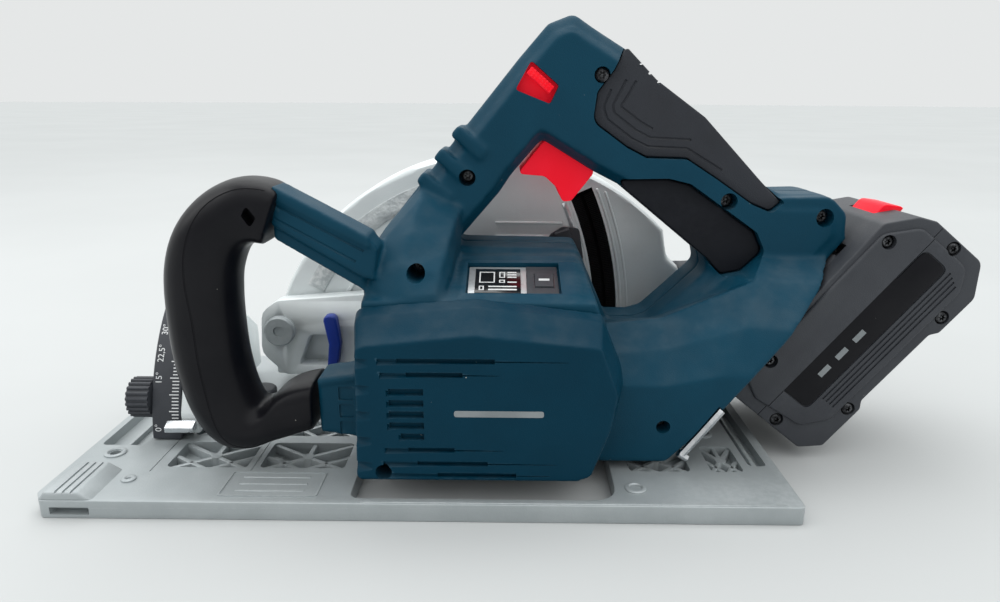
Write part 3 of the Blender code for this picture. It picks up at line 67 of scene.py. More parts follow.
# %% [markdown]
# ## Outlines
# Moulded and cast pieces are drawn as a side view first. An outline here is a list of corners in
# millimetres, each with its own radius, because that is how a pattern maker writes them down.

# %% Outline helpers
def arc(centre, radius, start_deg, end_deg, steps=16):
    """Points along an arc."""
    points = []
    for step in range(steps + 1):
        angle = math.radians(start_deg + (end_deg - start_deg) * step / steps)
        points.append((centre[0] + radius * math.cos(angle), centre[1] + radius * math.sin(angle)))
    return points


def ring(centre, radius, steps=48):
    """A full circle of points."""
    return arc(centre, radius, 0.0, 360.0, steps)[:-1]


def rounded(corners, steps=5):
    """Corners (x, z, radius) turned into short arcs."""
    points = []
    count = len(corners)
    for index, corner in enumerate(corners):
        here = Vector(corner[:2])
        radius = corner[2] if len(corner) > 2 else 0.0
        before = Vector(corners[index - 1][:2]) - here
        after = Vector(corners[(index + 1) % count][:2]) - here
        angle = before.angle(after)
        if radius < 0.01 or angle > math.radians(177.0):
            points.append(tuple(here))
            continue
        reach = min(before.length, after.length) * 0.47
        cut = min(radius / math.tan(angle / 2.0), reach)
        first = here + before.normalized() * cut
        last = here + after.normalized() * cut
        for step in range(steps + 1):
            t = step / steps
            points.append(tuple(first * (1 - t) ** 2 + here * 2 * t * (1 - t) + last * t ** 2))
    return points


def box_loop(low, high, radius=0.0):
    """A rectangle between two corners, with equal radii."""
    return rounded([(low[0], low[1], radius), (high[0], low[1], radius),
                    (high[0], high[1], radius), (low[0], high[1], radius)])


def band_loop(centre, inner, outer, start_deg, end_deg, steps=24):
    """A curved strip between two radii."""
    return (arc(centre, outer, start_deg, end_deg, steps)
            + arc(centre, inner, end_deg, start_deg, steps))


def strip_loop(start, end, half_width):
    """A narrow strip between two places."""
    run = (end - start).normalized()
    side = Vector((-run.y, run.x)) * half_width
    return [tuple(start + side), tuple(end + side), tuple(end - side), tuple(start - side)]


def lifted(points, y):
    """A side view's points put at one depth."""
    return [(x, y, z) for x, z in points]


# %% [markdown]
# ## Blanks
# A blank is a plain closed mesh: a slab cut from an outline, a bar, a rod or a bent wire. Later cells
# machine blanks into pieces, so each helper returns a mesh whose points are already in place.

# %% Blank helpers
TURNS = {
    "XY": Matrix.Identity(4),
    "XZ": Matrix.Rotation(math.radians(90.0), 4, "X"),
    "YZ": Matrix.Rotation(math.radians(90.0), 4, "Z") @ Matrix.Rotation(math.radians(90.0), 4, "X"),
}
ALONG = {
    "X": Matrix.Rotation(math.radians(90.0), 4, "Y"),
    "Y": Matrix.Rotation(math.radians(-90.0), 4, "X"),
    "Z": Matrix.Identity(4),
}


def holder(data, name="blank"):
    """An object in the scene that carries the data."""
    thing = bpy.data.objects.new(name, data)
    bpy.context.scene.collection.objects.link(thing)
    return thing


def evaluated_mesh(thing):
    """The mesh that an object's curve or modifiers make."""
    bpy.context.view_layer.update()
    graph = bpy.context.evaluated_depsgraph_get()
    return bpy.data.meshes.new_from_object(thing.evaluated_get(graph))


def tidy_mesh(mesh, flat=True):
    """Welds points, joins flat facets and turns every face outwards."""
    work = bmesh.new()
    work.from_mesh(mesh)
    bmesh.ops.remove_doubles(work, verts=work.verts, dist=0.00001)
    if flat:
        bmesh.ops.dissolve_limit(work, angle_limit=0.002, verts=work.verts, edges=work.edges)
    bmesh.ops.recalc_face_normals(work, faces=work.faces)
    work.to_mesh(mesh)
    work.free()
    return mesh


def slab(loops, low, high, plane="XZ"):
    """A slab cut from a side view: loops of (x, z), or the other plane's pair, from low to high."""
    curve = bpy.data.curves.new("slab", "CURVE")
    curve.dimensions = "2D"
    curve.fill_mode = "BOTH"
    curve.extrude = (high - low) * MM / 2.0
    for loop in loops:
        spline = curve.splines.new("POLY")
        spline.points.add(len(loop) - 1)
        for point, (x, y) in zip(spline.points, loop):
            point.co = (x * MM, y * MM, 0.0, 1.0)
        spline.use_cyclic_u = True
    thing = holder(curve)
    mesh = tidy_mesh(evaluated_mesh(thing))
    bpy.data.objects.remove(thing)
    middle = (low + high) / 2.0 * MM
    spot = {"XY": (0.0, 0.0, middle), "XZ": (0.0, middle, 0.0), "YZ": (middle, 0.0, 0.0)}[plane]
    mesh.transform(Matrix.Translation(spot) @ TURNS[plane])
    return mesh


def bar(low, high):
    """A rectangular bar between two corners."""
    mesh = bpy.data.meshes.new("bar")
    work = bmesh.new()
    bmesh.ops.create_cube(work, size=1.0)
    size = Vector([(high[i] - low[i]) * MM for i in range(3)])
    middle = Vector([(high[i] + low[i]) / 2.0 * MM for i in range(3)])
    bmesh.ops.scale(work, vec=size, verts=work.verts)
    bmesh.ops.translate(work, vec=middle, verts=work.verts)
    work.to_mesh(mesh)
    work.free()
    return mesh


def rod(axis, radius, low, high, centre, steps=40, radius_end=None):
    """A rod or cone along an axis, with centre its place in the other two."""
    mesh = bpy.data.meshes.new("rod")
    work = bmesh.new()
    top = radius if radius_end is None else radius_end
    bmesh.ops.create_cone(work, cap_ends=True, segments=steps, radius1=radius * MM, radius2=top * MM,
                          depth=(high - low) * MM)
    work.to_mesh(mesh)
    work.free()
    middle = (low + high) / 2.0
    spot = {"X": (middle, centre[0], centre[1]), "Y": (centre[0], middle, centre[1]),
            "Z": (centre[0], centre[1], middle)}[axis]
    mesh.transform(Matrix.Translation(Vector(spot) * MM) @ ALONG[axis])
    return mesh


def wire(points, radius, resolution=3, closed=False):
    """A round wire along points (x, y, z)."""
    curve = bpy.data.curves.new("wire", "CURVE")
    curve.dimensions = "3D"
    curve.bevel_depth = radius * MM
    curve.bevel_resolution = resolution
    curve.use_fill_caps = True
    spline = curve.splines.new("POLY")
    spline.points.add(len(points) - 1)
    for point, spot in zip(spline.points, points):
        point.co = (spot[0] * MM, spot[1] * MM, spot[2] * MM, 1.0)
    spline.use_cyclic_u = closed
    thing = holder(curve)
    mesh = tidy_mesh(evaluated_mesh(thing), flat=False)
    bpy.data.objects.remove(thing)
    return mesh


def lathe(profile, axis, centre, steps=48):
    """A turned piece from a profile of (radius, height)."""
    mesh = bpy.data.meshes.new("lathe")
    edges = [(i, i + 1) for i in range(len(profile) - 1)]
    if profile[0][0] > 0.0:
        edges.append((len(profile) - 1, 0))
    mesh.from_pydata([(r * MM, 0.0, h * MM) for r, h in profile], edges, [])
    thing = holder(mesh)
    screw = thing.modifiers.new("turn", "SCREW")
    screw.steps = steps
    screw.render_steps = steps
    screw.use_merge_vertices = True
    screw.merge_threshold = 0.00001
    turned = tidy_mesh(evaluated_mesh(thing), flat=False)
    bpy.data.objects.remove(thing)
    spot = {"X": (0.0, centre[0], centre[1]), "Y": (centre[0], 0.0, centre[1]),
            "Z": (centre[0], centre[1], 0.0)}[axis]
    turned.transform(Matrix.Translation(Vector(spot) * MM) @ ALONG[axis])
    return turned


# %% [markdown]
# ## Machining and moulding
# Two ways of finishing a blank cover the whole saw. Crisp pieces are machined: their edges are rounded
# and then holes are cut. Moulded pieces have soft fillets where ribs and arms run into the body, so their
# blanks are pushed together, rebuilt as one skin and rubbed smooth, and only then cut.

# %% Machining and moulding helpers
def joined(meshes):
    """Several closed meshes as one, still overlapping."""
    work = bmesh.new()
    for mesh in meshes:
        work.from_mesh(mesh)
    result = bpy.data.meshes.new("joined")
    work.to_mesh(result)
    work.free()
    return result


def boolean(mesh, operation, tool):
    """One cut, union or intersection. A second solver steps in if the first fails."""
    result = mesh
    for solver in ("MANIFOLD", "EXACT"):
        thing, helper = holder(mesh.copy()), holder(tool.copy(), "tool")
        step = thing.modifiers.new(operation, "BOOLEAN")
        step.operation = operation
        step.solver = solver
        step.object = helper
        result = evaluated_mesh(thing)
        bpy.data.objects.remove(thing)
        bpy.data.objects.remove(helper)
        changed = operation != "DIFFERENCE" or len(result.polygons) != len(mesh.polygons)
        if len(result.polygons) > 0 and changed:
            break
    if len(result.polygons) == 0:
        print("a", operation, "left nothing, so the piece stays uncut")
        return mesh
    return result


def machine(blank, fillet=0.0, segments=3, adds=(), cuts=(), limit=35.0):
    """Rounds a blank's edges, then adds and cuts other blanks."""
    result = blank
    if fillet > 0.0:
        thing = holder(blank)
        bevel = thing.modifiers.new("fillet", "BEVEL")
        bevel.width = fillet * MM
        bevel.segments = segments
        bevel.limit_method = "ANGLE"
        bevel.angle_limit = math.radians(limit)
        result = evaluated_mesh(thing)
        bpy.data.objects.remove(thing)
    for tool in adds:
        result = boolean(result, "UNION", tool)
    for tool in cuts:
        result = boolean(result, "DIFFERENCE", tool)
    return result


def mould(solids, voxel=1.2, passes=6, cuts=()):
    """One soft skin around overlapping solids, then crisp cuts."""
    thing = holder(joined(solids))
    skin = thing.modifiers.new("skin", "REMESH")
    skin.mode = "VOXEL"
    skin.voxel_size = voxel * MM
    rub = thing.modifiers.new("rub", "SMOOTH")
    rub.factor = 0.5
    rub.iterations = passes
    result = evaluated_mesh(thing)
    bpy.data.objects.remove(thing)
    for tool in cuts:
        result = boolean(result, "DIFFERENCE", tool)
    return result


def show(name, mesh, finish, body, stands_for=(), sharp=35.0):
    """A finished piece on its body."""
    mesh.name = name
    mesh.materials.clear()
    mesh.materials.append(finish)
    mesh.shade_smooth()
    mesh.set_sharp_from_angle(angle=math.radians(sharp))
    thing = holder(mesh, name)
    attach(thing, body)
    if stands_for:
        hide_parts(*stands_for)
    print(name, "faces:", len(mesh.polygons))
    return thing


# %% [markdown]
# ## Effects shared by the finishes
# Real surfaces differ by how they were made and by what has happened to them since. A spark-eroded mould
# leaves a fine pebble grain, dust settles on what faces up, corners rub paler and carry a painted highlight,
# and handling leaves hair scratches. Each effect is a node group with its own sizes, so that many finishes
# can share it.

# %% Node group helper
def new_group(name, inputs, outputs):
    """An empty shader group with named sockets: inputs are (name, default), outputs are names."""
    group = bpy.data.node_groups.new(name, "ShaderNodeTree")
    for label, default in inputs:
        socket = group.interface.new_socket(name=label, in_out="INPUT", socket_type="NodeSocketFloat")
        socket.default_value = default
    for label in outputs:
        group.interface.new_socket(name=label, in_out="OUTPUT", socket_type="NodeSocketFloat")
    return group, group.nodes.new("NodeGroupInput"), group.nodes.new("NodeGroupOutput")


def math_node(tree, operation, first, second=None, third=None, clamp=False):
    """A Math node with each entry either a number or a socket."""
    node = tree.nodes.new("ShaderNodeMath")
    node.operation = operation
    node.use_clamp = clamp
    for index, entry in enumerate((first, second, third)):
        if entry is None:
            continue
        if isinstance(entry, (int, float)):
            node.inputs[index].default_value = entry
        else:
            tree.links.new(entry, node.inputs[index])
    return node.outputs[0]


def noise_node(tree, vector, scale, detail=3.0, rough=0.55):
    """Fractal noise whose scale is a number or a socket."""
    node = tree.nodes.new("ShaderNodeTexNoise")
    node.inputs["Detail"].default_value = detail
    node.inputs["Roughness"].default_value = rough
    tree.links.new(vector, node.inputs["Vector"])
    if isinstance(scale, (int, float)):
        node.inputs["Scale"].default_value = scale
    else:
        tree.links.new(scale, node.inputs["Scale"])
    return node.outputs["Fac"]


def place_of(tree):
    """The place on the piece, in metres."""
    return tree.nodes.new("ShaderNodeTexCoord").outputs["Object"]


def smooth_range(tree, value, low, high):
    """A soft step from 0 at low to 1 at high."""
    node = tree.nodes.new("ShaderNodeMapRange")
    node.interpolation_type = "SMOOTHSTEP"
    tree.links.new(value, node.inputs["Value"])
    node.inputs["From Min"].default_value = low
    node.inputs["From Max"].default_value = high
    return node.outputs["Result"]


# %% Grain, dust, rub with a painted edge highlight, and scratches
def build_grain():
    """The pebble grain of a mould or a blasted casting, with a slow change of tone."""
    group, entry, result = new_group("surface_grain", [("Grain Size mm", 0.5), ("Tone Size mm", 25.0)],
                                     ["Height", "Tone"])
    place = place_of(group)
    fine_scale = math_node(group, "DIVIDE", 1000.0, entry.outputs["Grain Size mm"])
    cells = group.nodes.new("ShaderNodeTexVoronoi")
    cells.feature = "SMOOTH_F1"
    group.links.new(place, cells.inputs["Vector"])
    group.links.new(fine_scale, cells.inputs["Scale"])
    fuzz = noise_node(group, place, fine_scale, 4.0)
    height = math_node(group, "MULTIPLY_ADD", fuzz, 0.6, cells.outputs["Distance"])
    group.links.new(height, result.inputs["Height"])
    tone_scale = math_node(group, "DIVIDE", 1000.0, entry.outputs["Tone Size mm"])
    group.links.new(noise_node(group, place, tone_scale, 5.0), result.inputs["Tone"])
    return group


def build_dust():
    """Dust that lies on faces turned upwards, with a few coarser specks."""
    group, entry, result = new_group("settled_dust", [("Film", 0.2), ("Specks", 0.5)], ["Mask"])
    place = place_of(group)
    facing = group.nodes.new("ShaderNodeSeparateXYZ")
    group.links.new(group.nodes.new("ShaderNodeNewGeometry").outputs["Normal"], facing.inputs[0])
    up = smooth_range(group, facing.outputs["Z"], 0.15, 0.95)
    cloud = smooth_range(group, noise_node(group, place, 60.0, 6.0), 0.35, 0.75)
    film = math_node(group, "MULTIPLY", math_node(group, "MULTIPLY", up, cloud), entry.outputs["Film"])
    cells = group.nodes.new("ShaderNodeTexVoronoi")
    cells.inputs["Scale"].default_value = 260.0
    cells.inputs["Randomness"].default_value = 1.0
    group.links.new(place, cells.inputs["Vector"])
    dot = math_node(group, "LESS_THAN", cells.outputs["Distance"], 0.07)
    rare = math_node(group, "GREATER_THAN", noise_node(group, place, 420.0, 2.0), 0.66)
    specks = math_node(group, "MULTIPLY", math_node(group, "MULTIPLY", dot, rare), entry.outputs["Specks"])
    group.links.new(math_node(group, "ADD", film, specks, clamp=True), result.inputs["Mask"])
    return group


def build_rub_and_edge_highlight():
    """Corners that rub paler and carry a painted highlight: strongest on outward edges, broken up by noise.
    """
    group, entry, result = new_group("corner_rub_and_highlight", [("Amount", 0.5), ("Breakup Size mm", 3.0)], ["Mask"])
    place = place_of(group)
    point = group.nodes.new("ShaderNodeNewGeometry").outputs["Pointiness"]
    edge = smooth_range(group, point, 0.515, 0.60)
    scale = math_node(group, "DIVIDE", 1000.0, entry.outputs["Breakup Size mm"])
    broken = smooth_range(group, noise_node(group, place, scale, 5.0), 0.38, 0.62)
    mask = math_node(group, "MULTIPLY", math_node(group, "MULTIPLY", edge, broken), entry.outputs["Amount"])
    group.links.new(mask, result.inputs["Mask"])
    return group


def build_scratches():
    """Hair scratches: noise drawn out along two slanting directions."""
    group, entry, result = new_group("hair_scratches", [("Density", 0.5)], ["Mask"])
    place = place_of(group)
    masks = []
    for tilt, stretch in ((0.5, (1500.0, 60.0, 22.0)), (-0.9, (1300.0, 70.0, 18.0))):
        mapping = group.nodes.new("ShaderNodeMapping")
        mapping.inputs["Rotation"].default_value = (0.0, tilt, 0.2)
        mapping.inputs["Scale"].default_value = stretch
        group.links.new(place, mapping.inputs["Vector"])
        masks.append(smooth_range(group, noise_node(group, mapping.outputs[0], 1.0, 2.0), 0.68, 0.80))
    both = math_node(group, "MAXIMUM", masks[0], masks[1])
    group.links.new(math_node(group, "MULTIPLY", both, entry.outputs["Density"]), result.inputs["Mask"])
    return group


GRAIN, DUST, RUB_AND_HIGHLIGHT, SCRATCHES = build_grain(), build_dust(), build_rub_and_edge_highlight(), build_scratches()
print("shared effects:", GRAIN.name, DUST.name, RUB_AND_HIGHLIGHT.name, SCRATCHES.name)

# %% [markdown]
# ## Finishes
# Every finish starts from one recipe: a base colour that drifts a little, pale corners that are partly rubbed
# and partly a painted highlight, dust, a roughness that the scratches disturb, and a bump from the grain. The
# numbers make it plastic or metal.
# The red finish also glows very slightly: a painted glow that makes it look brighter than its light alone
# would.

# %% The recipe
DUST_COLOUR = (0.55, 0.54, 0.50)
COAT_ROUGHNESS = 0.12
GRAIN_RELIEF = 0.3


def set_group(tree, group, **values):
    """One effect in a material, with its sockets set by name."""
    node = tree.nodes.new("ShaderNodeGroup")
    node.node_tree = group
    for label, value in values.items():
        node.inputs[label.replace("_", " ")].default_value = value
    return node


def blend_colours(tree, factor, first, second):
    """A mix of two colours, each a tuple or a socket."""
    node = tree.nodes.new("ShaderNodeMix")
    node.data_type = "RGBA"
    tree.links.new(factor, node.inputs["Factor"])
    for socket, entry in (("A", first), ("B", second)):
        target = [s for s in node.inputs if s.name == socket and s.type == "RGBA"][0]
        if isinstance(entry, tuple):
            target.default_value = (*entry, 1.0)
        else:
            tree.links.new(entry, target)
    return [s for s in node.outputs if s.type == "RGBA"][0]


def make_finish(name, deep, pale, roughness, metallic=0.0, grain=0.45, depth=0.10, tone=25.0, dust=0.10,
                specks=0.5, rub=0.35, rubbed=(0.30, 0.32, 0.34), scratch=0.25, specular=0.4, coat=0.0):
    """A Principled material with grain, tone, rub with a painted edge highlight, dust and scratches of its
    own.
    """
    material = bpy.data.materials.new(name)
    material.use_nodes = True
    tree = material.node_tree
    shader = tree.nodes["Principled BSDF"]
    shader.inputs["Metallic"].default_value = metallic
    shader.inputs["Specular IOR Level"].default_value = specular
    shader.inputs["Coat Weight"].default_value = coat
    shader.inputs["Coat Roughness"].default_value = COAT_ROUGHNESS
    skin = set_group(tree, GRAIN, Grain_Size_mm=grain, Tone_Size_mm=tone)
    worn_and_lit = set_group(tree, RUB_AND_HIGHLIGHT, Amount=rub, Breakup_Size_mm=3.0)
    dirt = set_group(tree, DUST, Film=dust, Specks=specks)
    hair = set_group(tree, SCRATCHES, Density=scratch)
    tone_mask = smooth_range(tree, skin.outputs["Tone"], 0.3, 0.7)
    colour = blend_colours(tree, tone_mask, deep, pale)
    # Pale corners: the rubbed colour is partly wear and partly a painted highlight on outward edges.
    colour = blend_colours(tree, worn_and_lit.outputs["Mask"], colour, rubbed)
    colour = blend_colours(tree, dirt.outputs["Mask"], colour, DUST_COLOUR)
    tree.links.new(colour, shader.inputs["Base Color"])
    rough = math_node(tree, "MULTIPLY_ADD", skin.outputs["Tone"], 0.16, roughness - 0.08)
    rough = math_node(tree, "MULTIPLY_ADD", hair.outputs["Mask"], -0.12, rough)
    rough = math_node(tree, "MULTIPLY_ADD", dirt.outputs["Mask"], 0.3, rough, clamp=True)
    tree.links.new(rough, shader.inputs["Roughness"])
    height = math_node(tree, "MULTIPLY_ADD", hair.outputs["Mask"], -0.6, skin.outputs["Height"])
    bump = tree.nodes.new("ShaderNodeBump")
    bump.inputs["Strength"].default_value = depth
    bump.inputs["Distance"].default_value = GRAIN_RELIEF * MM
    tree.links.new(height, bump.inputs["Height"])
    tree.links.new(bump.outputs["Normal"], shader.inputs["Normal"])
    return material


# %% The saw's finishes
# The rubbed colours are partly wear and partly painted highlight: the blue ones are the lit blue of the
# block's top, the cast grey one is a rim highlight.
blue_case = make_finish("blue_case", (0.0011, 0.041, 0.074), (0.0018, 0.046, 0.082), 0.50, grain=0.42,
                        depth=0.25, specular=0.15, rub=0.16, rubbed=(0.10, 0.19, 0.25), dust=0.05)
blue_face = make_finish("blue_face", (0.0002, 0.029, 0.054), (0.0004, 0.032, 0.059), 0.46, grain=0.42,
                        depth=0.20, specular=0.10, rub=0.22, rubbed=(0.10, 0.19, 0.25), dust=0.03,
                        specks=0.8)
black_case = make_finish("black_case", (0.032, 0.035, 0.043), (0.041, 0.045, 0.053), 0.52, grain=0.40,
                         depth=0.35, rub=0.15, rubbed=(0.08, 0.085, 0.10), dust=0.04)
black_gloss = make_finish("black_gloss", (0.004, 0.004, 0.006), (0.007, 0.007, 0.009), 0.33, grain=0.60,
                          depth=0.05, rub=0.04, rubbed=(0.04, 0.042, 0.05), dust=0.0, specks=0.5,
                          scratch=0.3, specular=0.16)
soft_rubber = make_finish("soft_rubber", (0.024, 0.026, 0.032), (0.030, 0.033, 0.041), 0.68, grain=0.35,
                          depth=0.45, rub=0.10, rubbed=(0.06, 0.065, 0.075), scratch=0.05, specular=0.3)
smooth_rubber = make_finish("smooth_rubber", (0.006, 0.007, 0.010), (0.009, 0.010, 0.014), 0.55, grain=0.5,
                            depth=0.10, rub=0.04, rubbed=(0.05, 0.055, 0.06), dust=0.02, scratch=0.10,
                            specular=0.15)
red_plastic = make_finish("red_plastic", (0.88, 0.006, 0.022), (0.96, 0.012, 0.034), 0.42, grain=0.5,
                          depth=0.08, rub=0.08, rubbed=(0.95, 0.25, 0.22), dust=0.0, specks=0.1,
                          scratch=0.12, specular=0.12)
# A painted glow: the red plastic emits a little light, though it is no lamp, so that it looks brighter.
red_glow_shader = red_plastic.node_tree.nodes["Principled BSDF"]
red_glow_shader.inputs["Emission Color"].default_value = (1.0, 0.01, 0.03, 1.0)
red_glow_shader.inputs["Emission Strength"].default_value = 0.16
cobalt_plastic = make_finish("cobalt_plastic", (0.006, 0.030, 0.26), (0.010, 0.045, 0.36), 0.42, grain=0.5,
                             depth=0.15, rubbed=(0.10, 0.16, 0.45))
cast_grey = make_finish("cast_grey", (0.34, 0.372, 0.382), (0.39, 0.422, 0.432), 0.42, metallic=0.30,
                        grain=0.7, depth=0.16, tone=30.0, rub=0.12, rubbed=(0.70, 0.72, 0.73), dust=0.02,
                        specks=0.1, scratch=0.30)
# A lit copy of the cast grey: the guard, carriers and gear case are painted about twice as bright, standing
# in for light on them, since they lie in shade here.
cast_grey_painted_lit = make_finish("cast_grey_painted_lit", (0.70, 0.74, 0.745), (0.76, 0.80, 0.805), 0.40, metallic=0.20,
                         grain=0.7, depth=0.14, tone=30.0, rub=0.10, rubbed=(0.85, 0.87, 0.87), dust=0.0,
                         specks=0.05, scratch=0.30)
cast_rough = make_finish("cast_rough", (0.48, 0.51, 0.52), (0.66, 0.69, 0.69), 0.55, metallic=0.30,
                         grain=1.4, depth=0.8, tone=6.0, rub=0.5, rubbed=(0.9, 0.9, 0.9), dust=0.0,
                         specks=0.0)
bright_steel = make_finish("bright_steel", (0.52, 0.54, 0.56), (0.66, 0.68, 0.70), 0.26, metallic=1.0,
                           grain=0.6, depth=0.06, tone=9.0, rub=0.3, rubbed=(0.85, 0.86, 0.87), dust=0.0,
                           specks=0.0, scratch=0.6)
dark_steel = make_finish("dark_steel", (0.010, 0.010, 0.012), (0.020, 0.021, 0.023), 0.34, metallic=0.6,
                         grain=0.5, depth=0.10, rub=0.3, rubbed=(0.35, 0.36, 0.38), dust=0.0)
copper_wire = make_finish("copper_wire", (0.40, 0.13, 0.05), (0.62, 0.24, 0.10), 0.34, metallic=1.0,
                          grain=1.0, depth=0.5, dust=0.0)
circuit_green = make_finish("circuit_green", (0.004, 0.06, 0.02), (0.010, 0.10, 0.035), 0.35, grain=2.0,
                            depth=0.2, dust=0.0)
white_print = make_finish("white_print", (0.66, 0.68, 0.69), (0.80, 0.81, 0.81), 0.50, grain=0.4,
                          depth=0.05, rub=0.0, dust=0.0, specks=0.0)
grey_print = make_finish("grey_print", (0.20, 0.22, 0.23), (0.26, 0.28, 0.29), 0.50, grain=0.4, depth=0.05,
                         rub=0.0, dust=0.0, specks=0.0)
silver_film = make_finish("silver_film", (0.55, 0.57, 0.58), (0.68, 0.70, 0.71), 0.32, metallic=0.6,
                          grain=0.5, depth=0.05, dust=0.0, specks=0.0)
screen_black = make_finish("screen_black", (0.004, 0.004, 0.005), (0.008, 0.008, 0.010), 0.16, grain=0.5,
                           depth=0.02, rub=0.0, dust=0.02, coat=0.5)
bristle_black = make_finish("bristle_black", (0.003, 0.003, 0.003), (0.010, 0.010, 0.011), 0.75, grain=0.35,
                            depth=1.0, rub=0.0, dust=0.0, specular=0.15)
print("finishes:", len(bpy.data.materials))

# %% [markdown]
# ## The head's side view
# These corners draw the handle frame and the motor block, as the CAD has them. The width of the near
# moulding in the loaded model is printed, to compare with the drawing.

# %% Side view corners
FRAME_OUTER = [(64.0, 14.0, 4.0), (62.0, 84.0, 4.0), (68.0, 114.0, 12.0), (140.0, 202.5, 6.0),
               (154.0, 218.5, 3.0), (166.0, 223.0, 5.0), (176.0, 216.5, 4.0), (192.0, 207.0, 8.0),
               (207.0, 192.5, 8.0), (232.0, 175.0, 10.0), (262.0, 144.0, 8.0), (274.0, 138.0, 6.0),
               (297.0, 138.0, 8.0), (306.0, 129.0, 4.0), (307.5, 116.0, 0.0), (248.4, 42.2, 0.0),
               (236.0, 48.0, 6.0), (190.0, 40.0, 4.0), (186.0, 14.0, 4.0)]
FRAME_HOLE = [(107.0, 110.0, 3.0), (131.0, 138.0, 6.0), (137.0, 147.0, 4.0), (152.0, 164.5, 3.0),
              (178.0, 149.0, 4.0), (193.0, 141.5, 5.0), (238.0, 106.0, 6.0), (240.0, 98.0, 6.0),
              (224.0, 82.0, 8.0), (212.0, 70.5, 5.0), (204.0, 68.0, 2.0), (190.0, 68.0, 2.0),
              (184.0, 82.0, 4.0), (172.0, 109.0, 4.0)]
BLOCK = [(66.0, 14.0, 3.0), (180.0, 14.0, 4.0), (188.0, 62.0, 4.0), (172.0, 107.0, 5.0), (110.0, 107.0, 3.0),
         (68.0, 98.0, 5.0)]
MOTOR_AXIS = (124.0, 51.0)
SPLIT_Y = 10.0
SEAM_HALF = 0.3
BLOCK_NEAR_Y = -58.3
SLOPE_FOOT = (-55.0, 95.0)
SLOPE_ANGLE = math.atan2(10.0, 33.0)
low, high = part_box("housing_left")
print("frame drawing spans", round((high.x - low.x) / MM), "mm along the saw")


def on_slope(x, y):
    """A place on the block's sloping top, turned to lie on it."""
    height = SLOPE_FOOT[1] + (y - SLOPE_FOOT[0]) * math.tan(SLOPE_ANGLE)
    return Matrix.Translation(Vector((x, y, height)) * MM) @ Matrix.Rotation(SLOPE_ANGLE, 4, "X")


def sloped(mesh, x, y):
    """A blank drawn flat, laid on the sloping top."""
    mesh.transform(on_slope(x, y))
    return mesh


# %% [markdown]
# ## The near handle moulding
# On the real saw this is one big glass-filled moulding: strut, grip bar, motor block, foot and the two arms
# of the front handle. The fillets between them are what makes it look moulded, so the blanks are merged
# into one skin. Screw wells, the thumb window and the panel recess are crisp, so they are cut afterwards.

# %% Foot of the near moulding
def loft(rings):
    """A closed skin through rings that have the same number of (x, y, z) points."""
    mesh = bpy.data.meshes.new("loft")
    work = bmesh.new()
    rows = [[work.verts.new(Vector(p) * MM) for p in points] for points in rings]
    count = len(rows[0])
    for near, far in zip(rows, rows[1:]):
        for index in range(count):
            after = (index + 1) % count
            work.faces.new((near[index], near[after], far[after], far[index]))
    work.faces.new(rows[0])
    work.faces.new(list(reversed(rows[-1])))
    bmesh.ops.recalc_face_normals(work, faces=work.faces)
    work.to_mesh(mesh)
    work.free()
    return mesh


def foot_blank():
    """The foot bulges towards the motor side and slopes back to the battery seam."""
    rings = [
        (-56.5, [(180, 13), (213, 13), (219, 19), (238, 40), (252, 58), (236, 58), (212, 53), (184, 53)]),
        (-47.0, [(180, 13), (215, 13), (222, 19), (246, 42), (273, 78), (250, 80), (213, 69), (184, 66)]),
        (-30.0, [(180, 13), (215, 13), (223, 19), (247, 42), (291, 97), (258, 99), (212, 79), (184, 76)]),
        (-6.0, [(180, 30), (215, 30), (224, 36), (247, 42.6), (303, 112), (264, 112), (214, 72), (184, 70)]),
    ]
    return loft([lifted(points, y) for y, points in rings])


def arm_blanks():
    """The two arms of the front handle. The upper one has a raised rail and a lower step."""
    upper = slab([[(30.5, 146.0), (72.0, 123.5), (76.0, 118.0), (74.0, 103.0), (69.0, 104.0), (28.5, 128.5)]],
                 -53.6, -36.0)
    rail = slab([[(30.5, 146.5), (72.5, 124.0), (72.5, 118.5), (30.0, 141.0)]], -55.4, -37.0)
    step = slab([[(28.5, 130.0), (70.0, 106.0), (68.0, 97.5), (28.0, 121.6)]], -50.0, -37.0)
    lower = slab([rounded([(45.0, 27.5), (70.0, 24.0), (72.0, 58.0), (45.0, 55.0)])], -56.2, -36.0)
    edge = slab([[(45.0, 55.6), (72.0, 59.5), (72.0, 56.5), (45.0, 52.6)]], -57.4, -36.0)
    return [upper, rail, step, lower, edge]


def flare_blank():
    """The strut's root: it swells forward and down until it meets the motor block."""
    rings = [(-57.2, [(77, 60), (77, 84), (80, 92), (89, 96), (102, 97), (106, 92), (106, 60)]),
             (-50.0, [(68, 60), (68, 92), (73, 104), (87, 110), (104, 106), (107, 100), (107, 60)]),
             (-38.0, [(66, 60), (66, 100), (72, 114), (89, 124), (107, 116), (109, 106), (107, 60)]),
             (-25.0, [(66, 60), (66, 107), (74, 121), (92, 136), (110, 126), (110, 113), (107, 60)]),
             (-11.0, [(66, 60), (66, 111), (76, 124), (93, 143), (114, 133), (112, 117), (108, 60)])]
    return loft([lifted(points, y) for y, points in rings])


def strut_ribs():
    """Three bands that wrap over the strut's front edge."""
    ribs = []
    along = Vector((0.635, 0.772))
    across = Vector((0.772, -0.635))
    for middle in ((114.5, 164.5), (106.0, 153.5), (97.0, 142.0)):
        centre = Vector(middle)
        corners = []
        for a, c in ((-3.4, -7.2), (3.4, -7.2), (3.4, 12.0), (-3.4, 12.0)):
            spot = centre + along * a + across * c
            corners.append((spot.x, spot.y, 1.0))
        ribs.append(slab([rounded(corners, 2)], -15.8, SPLIT_Y - 1.0))
    return ribs


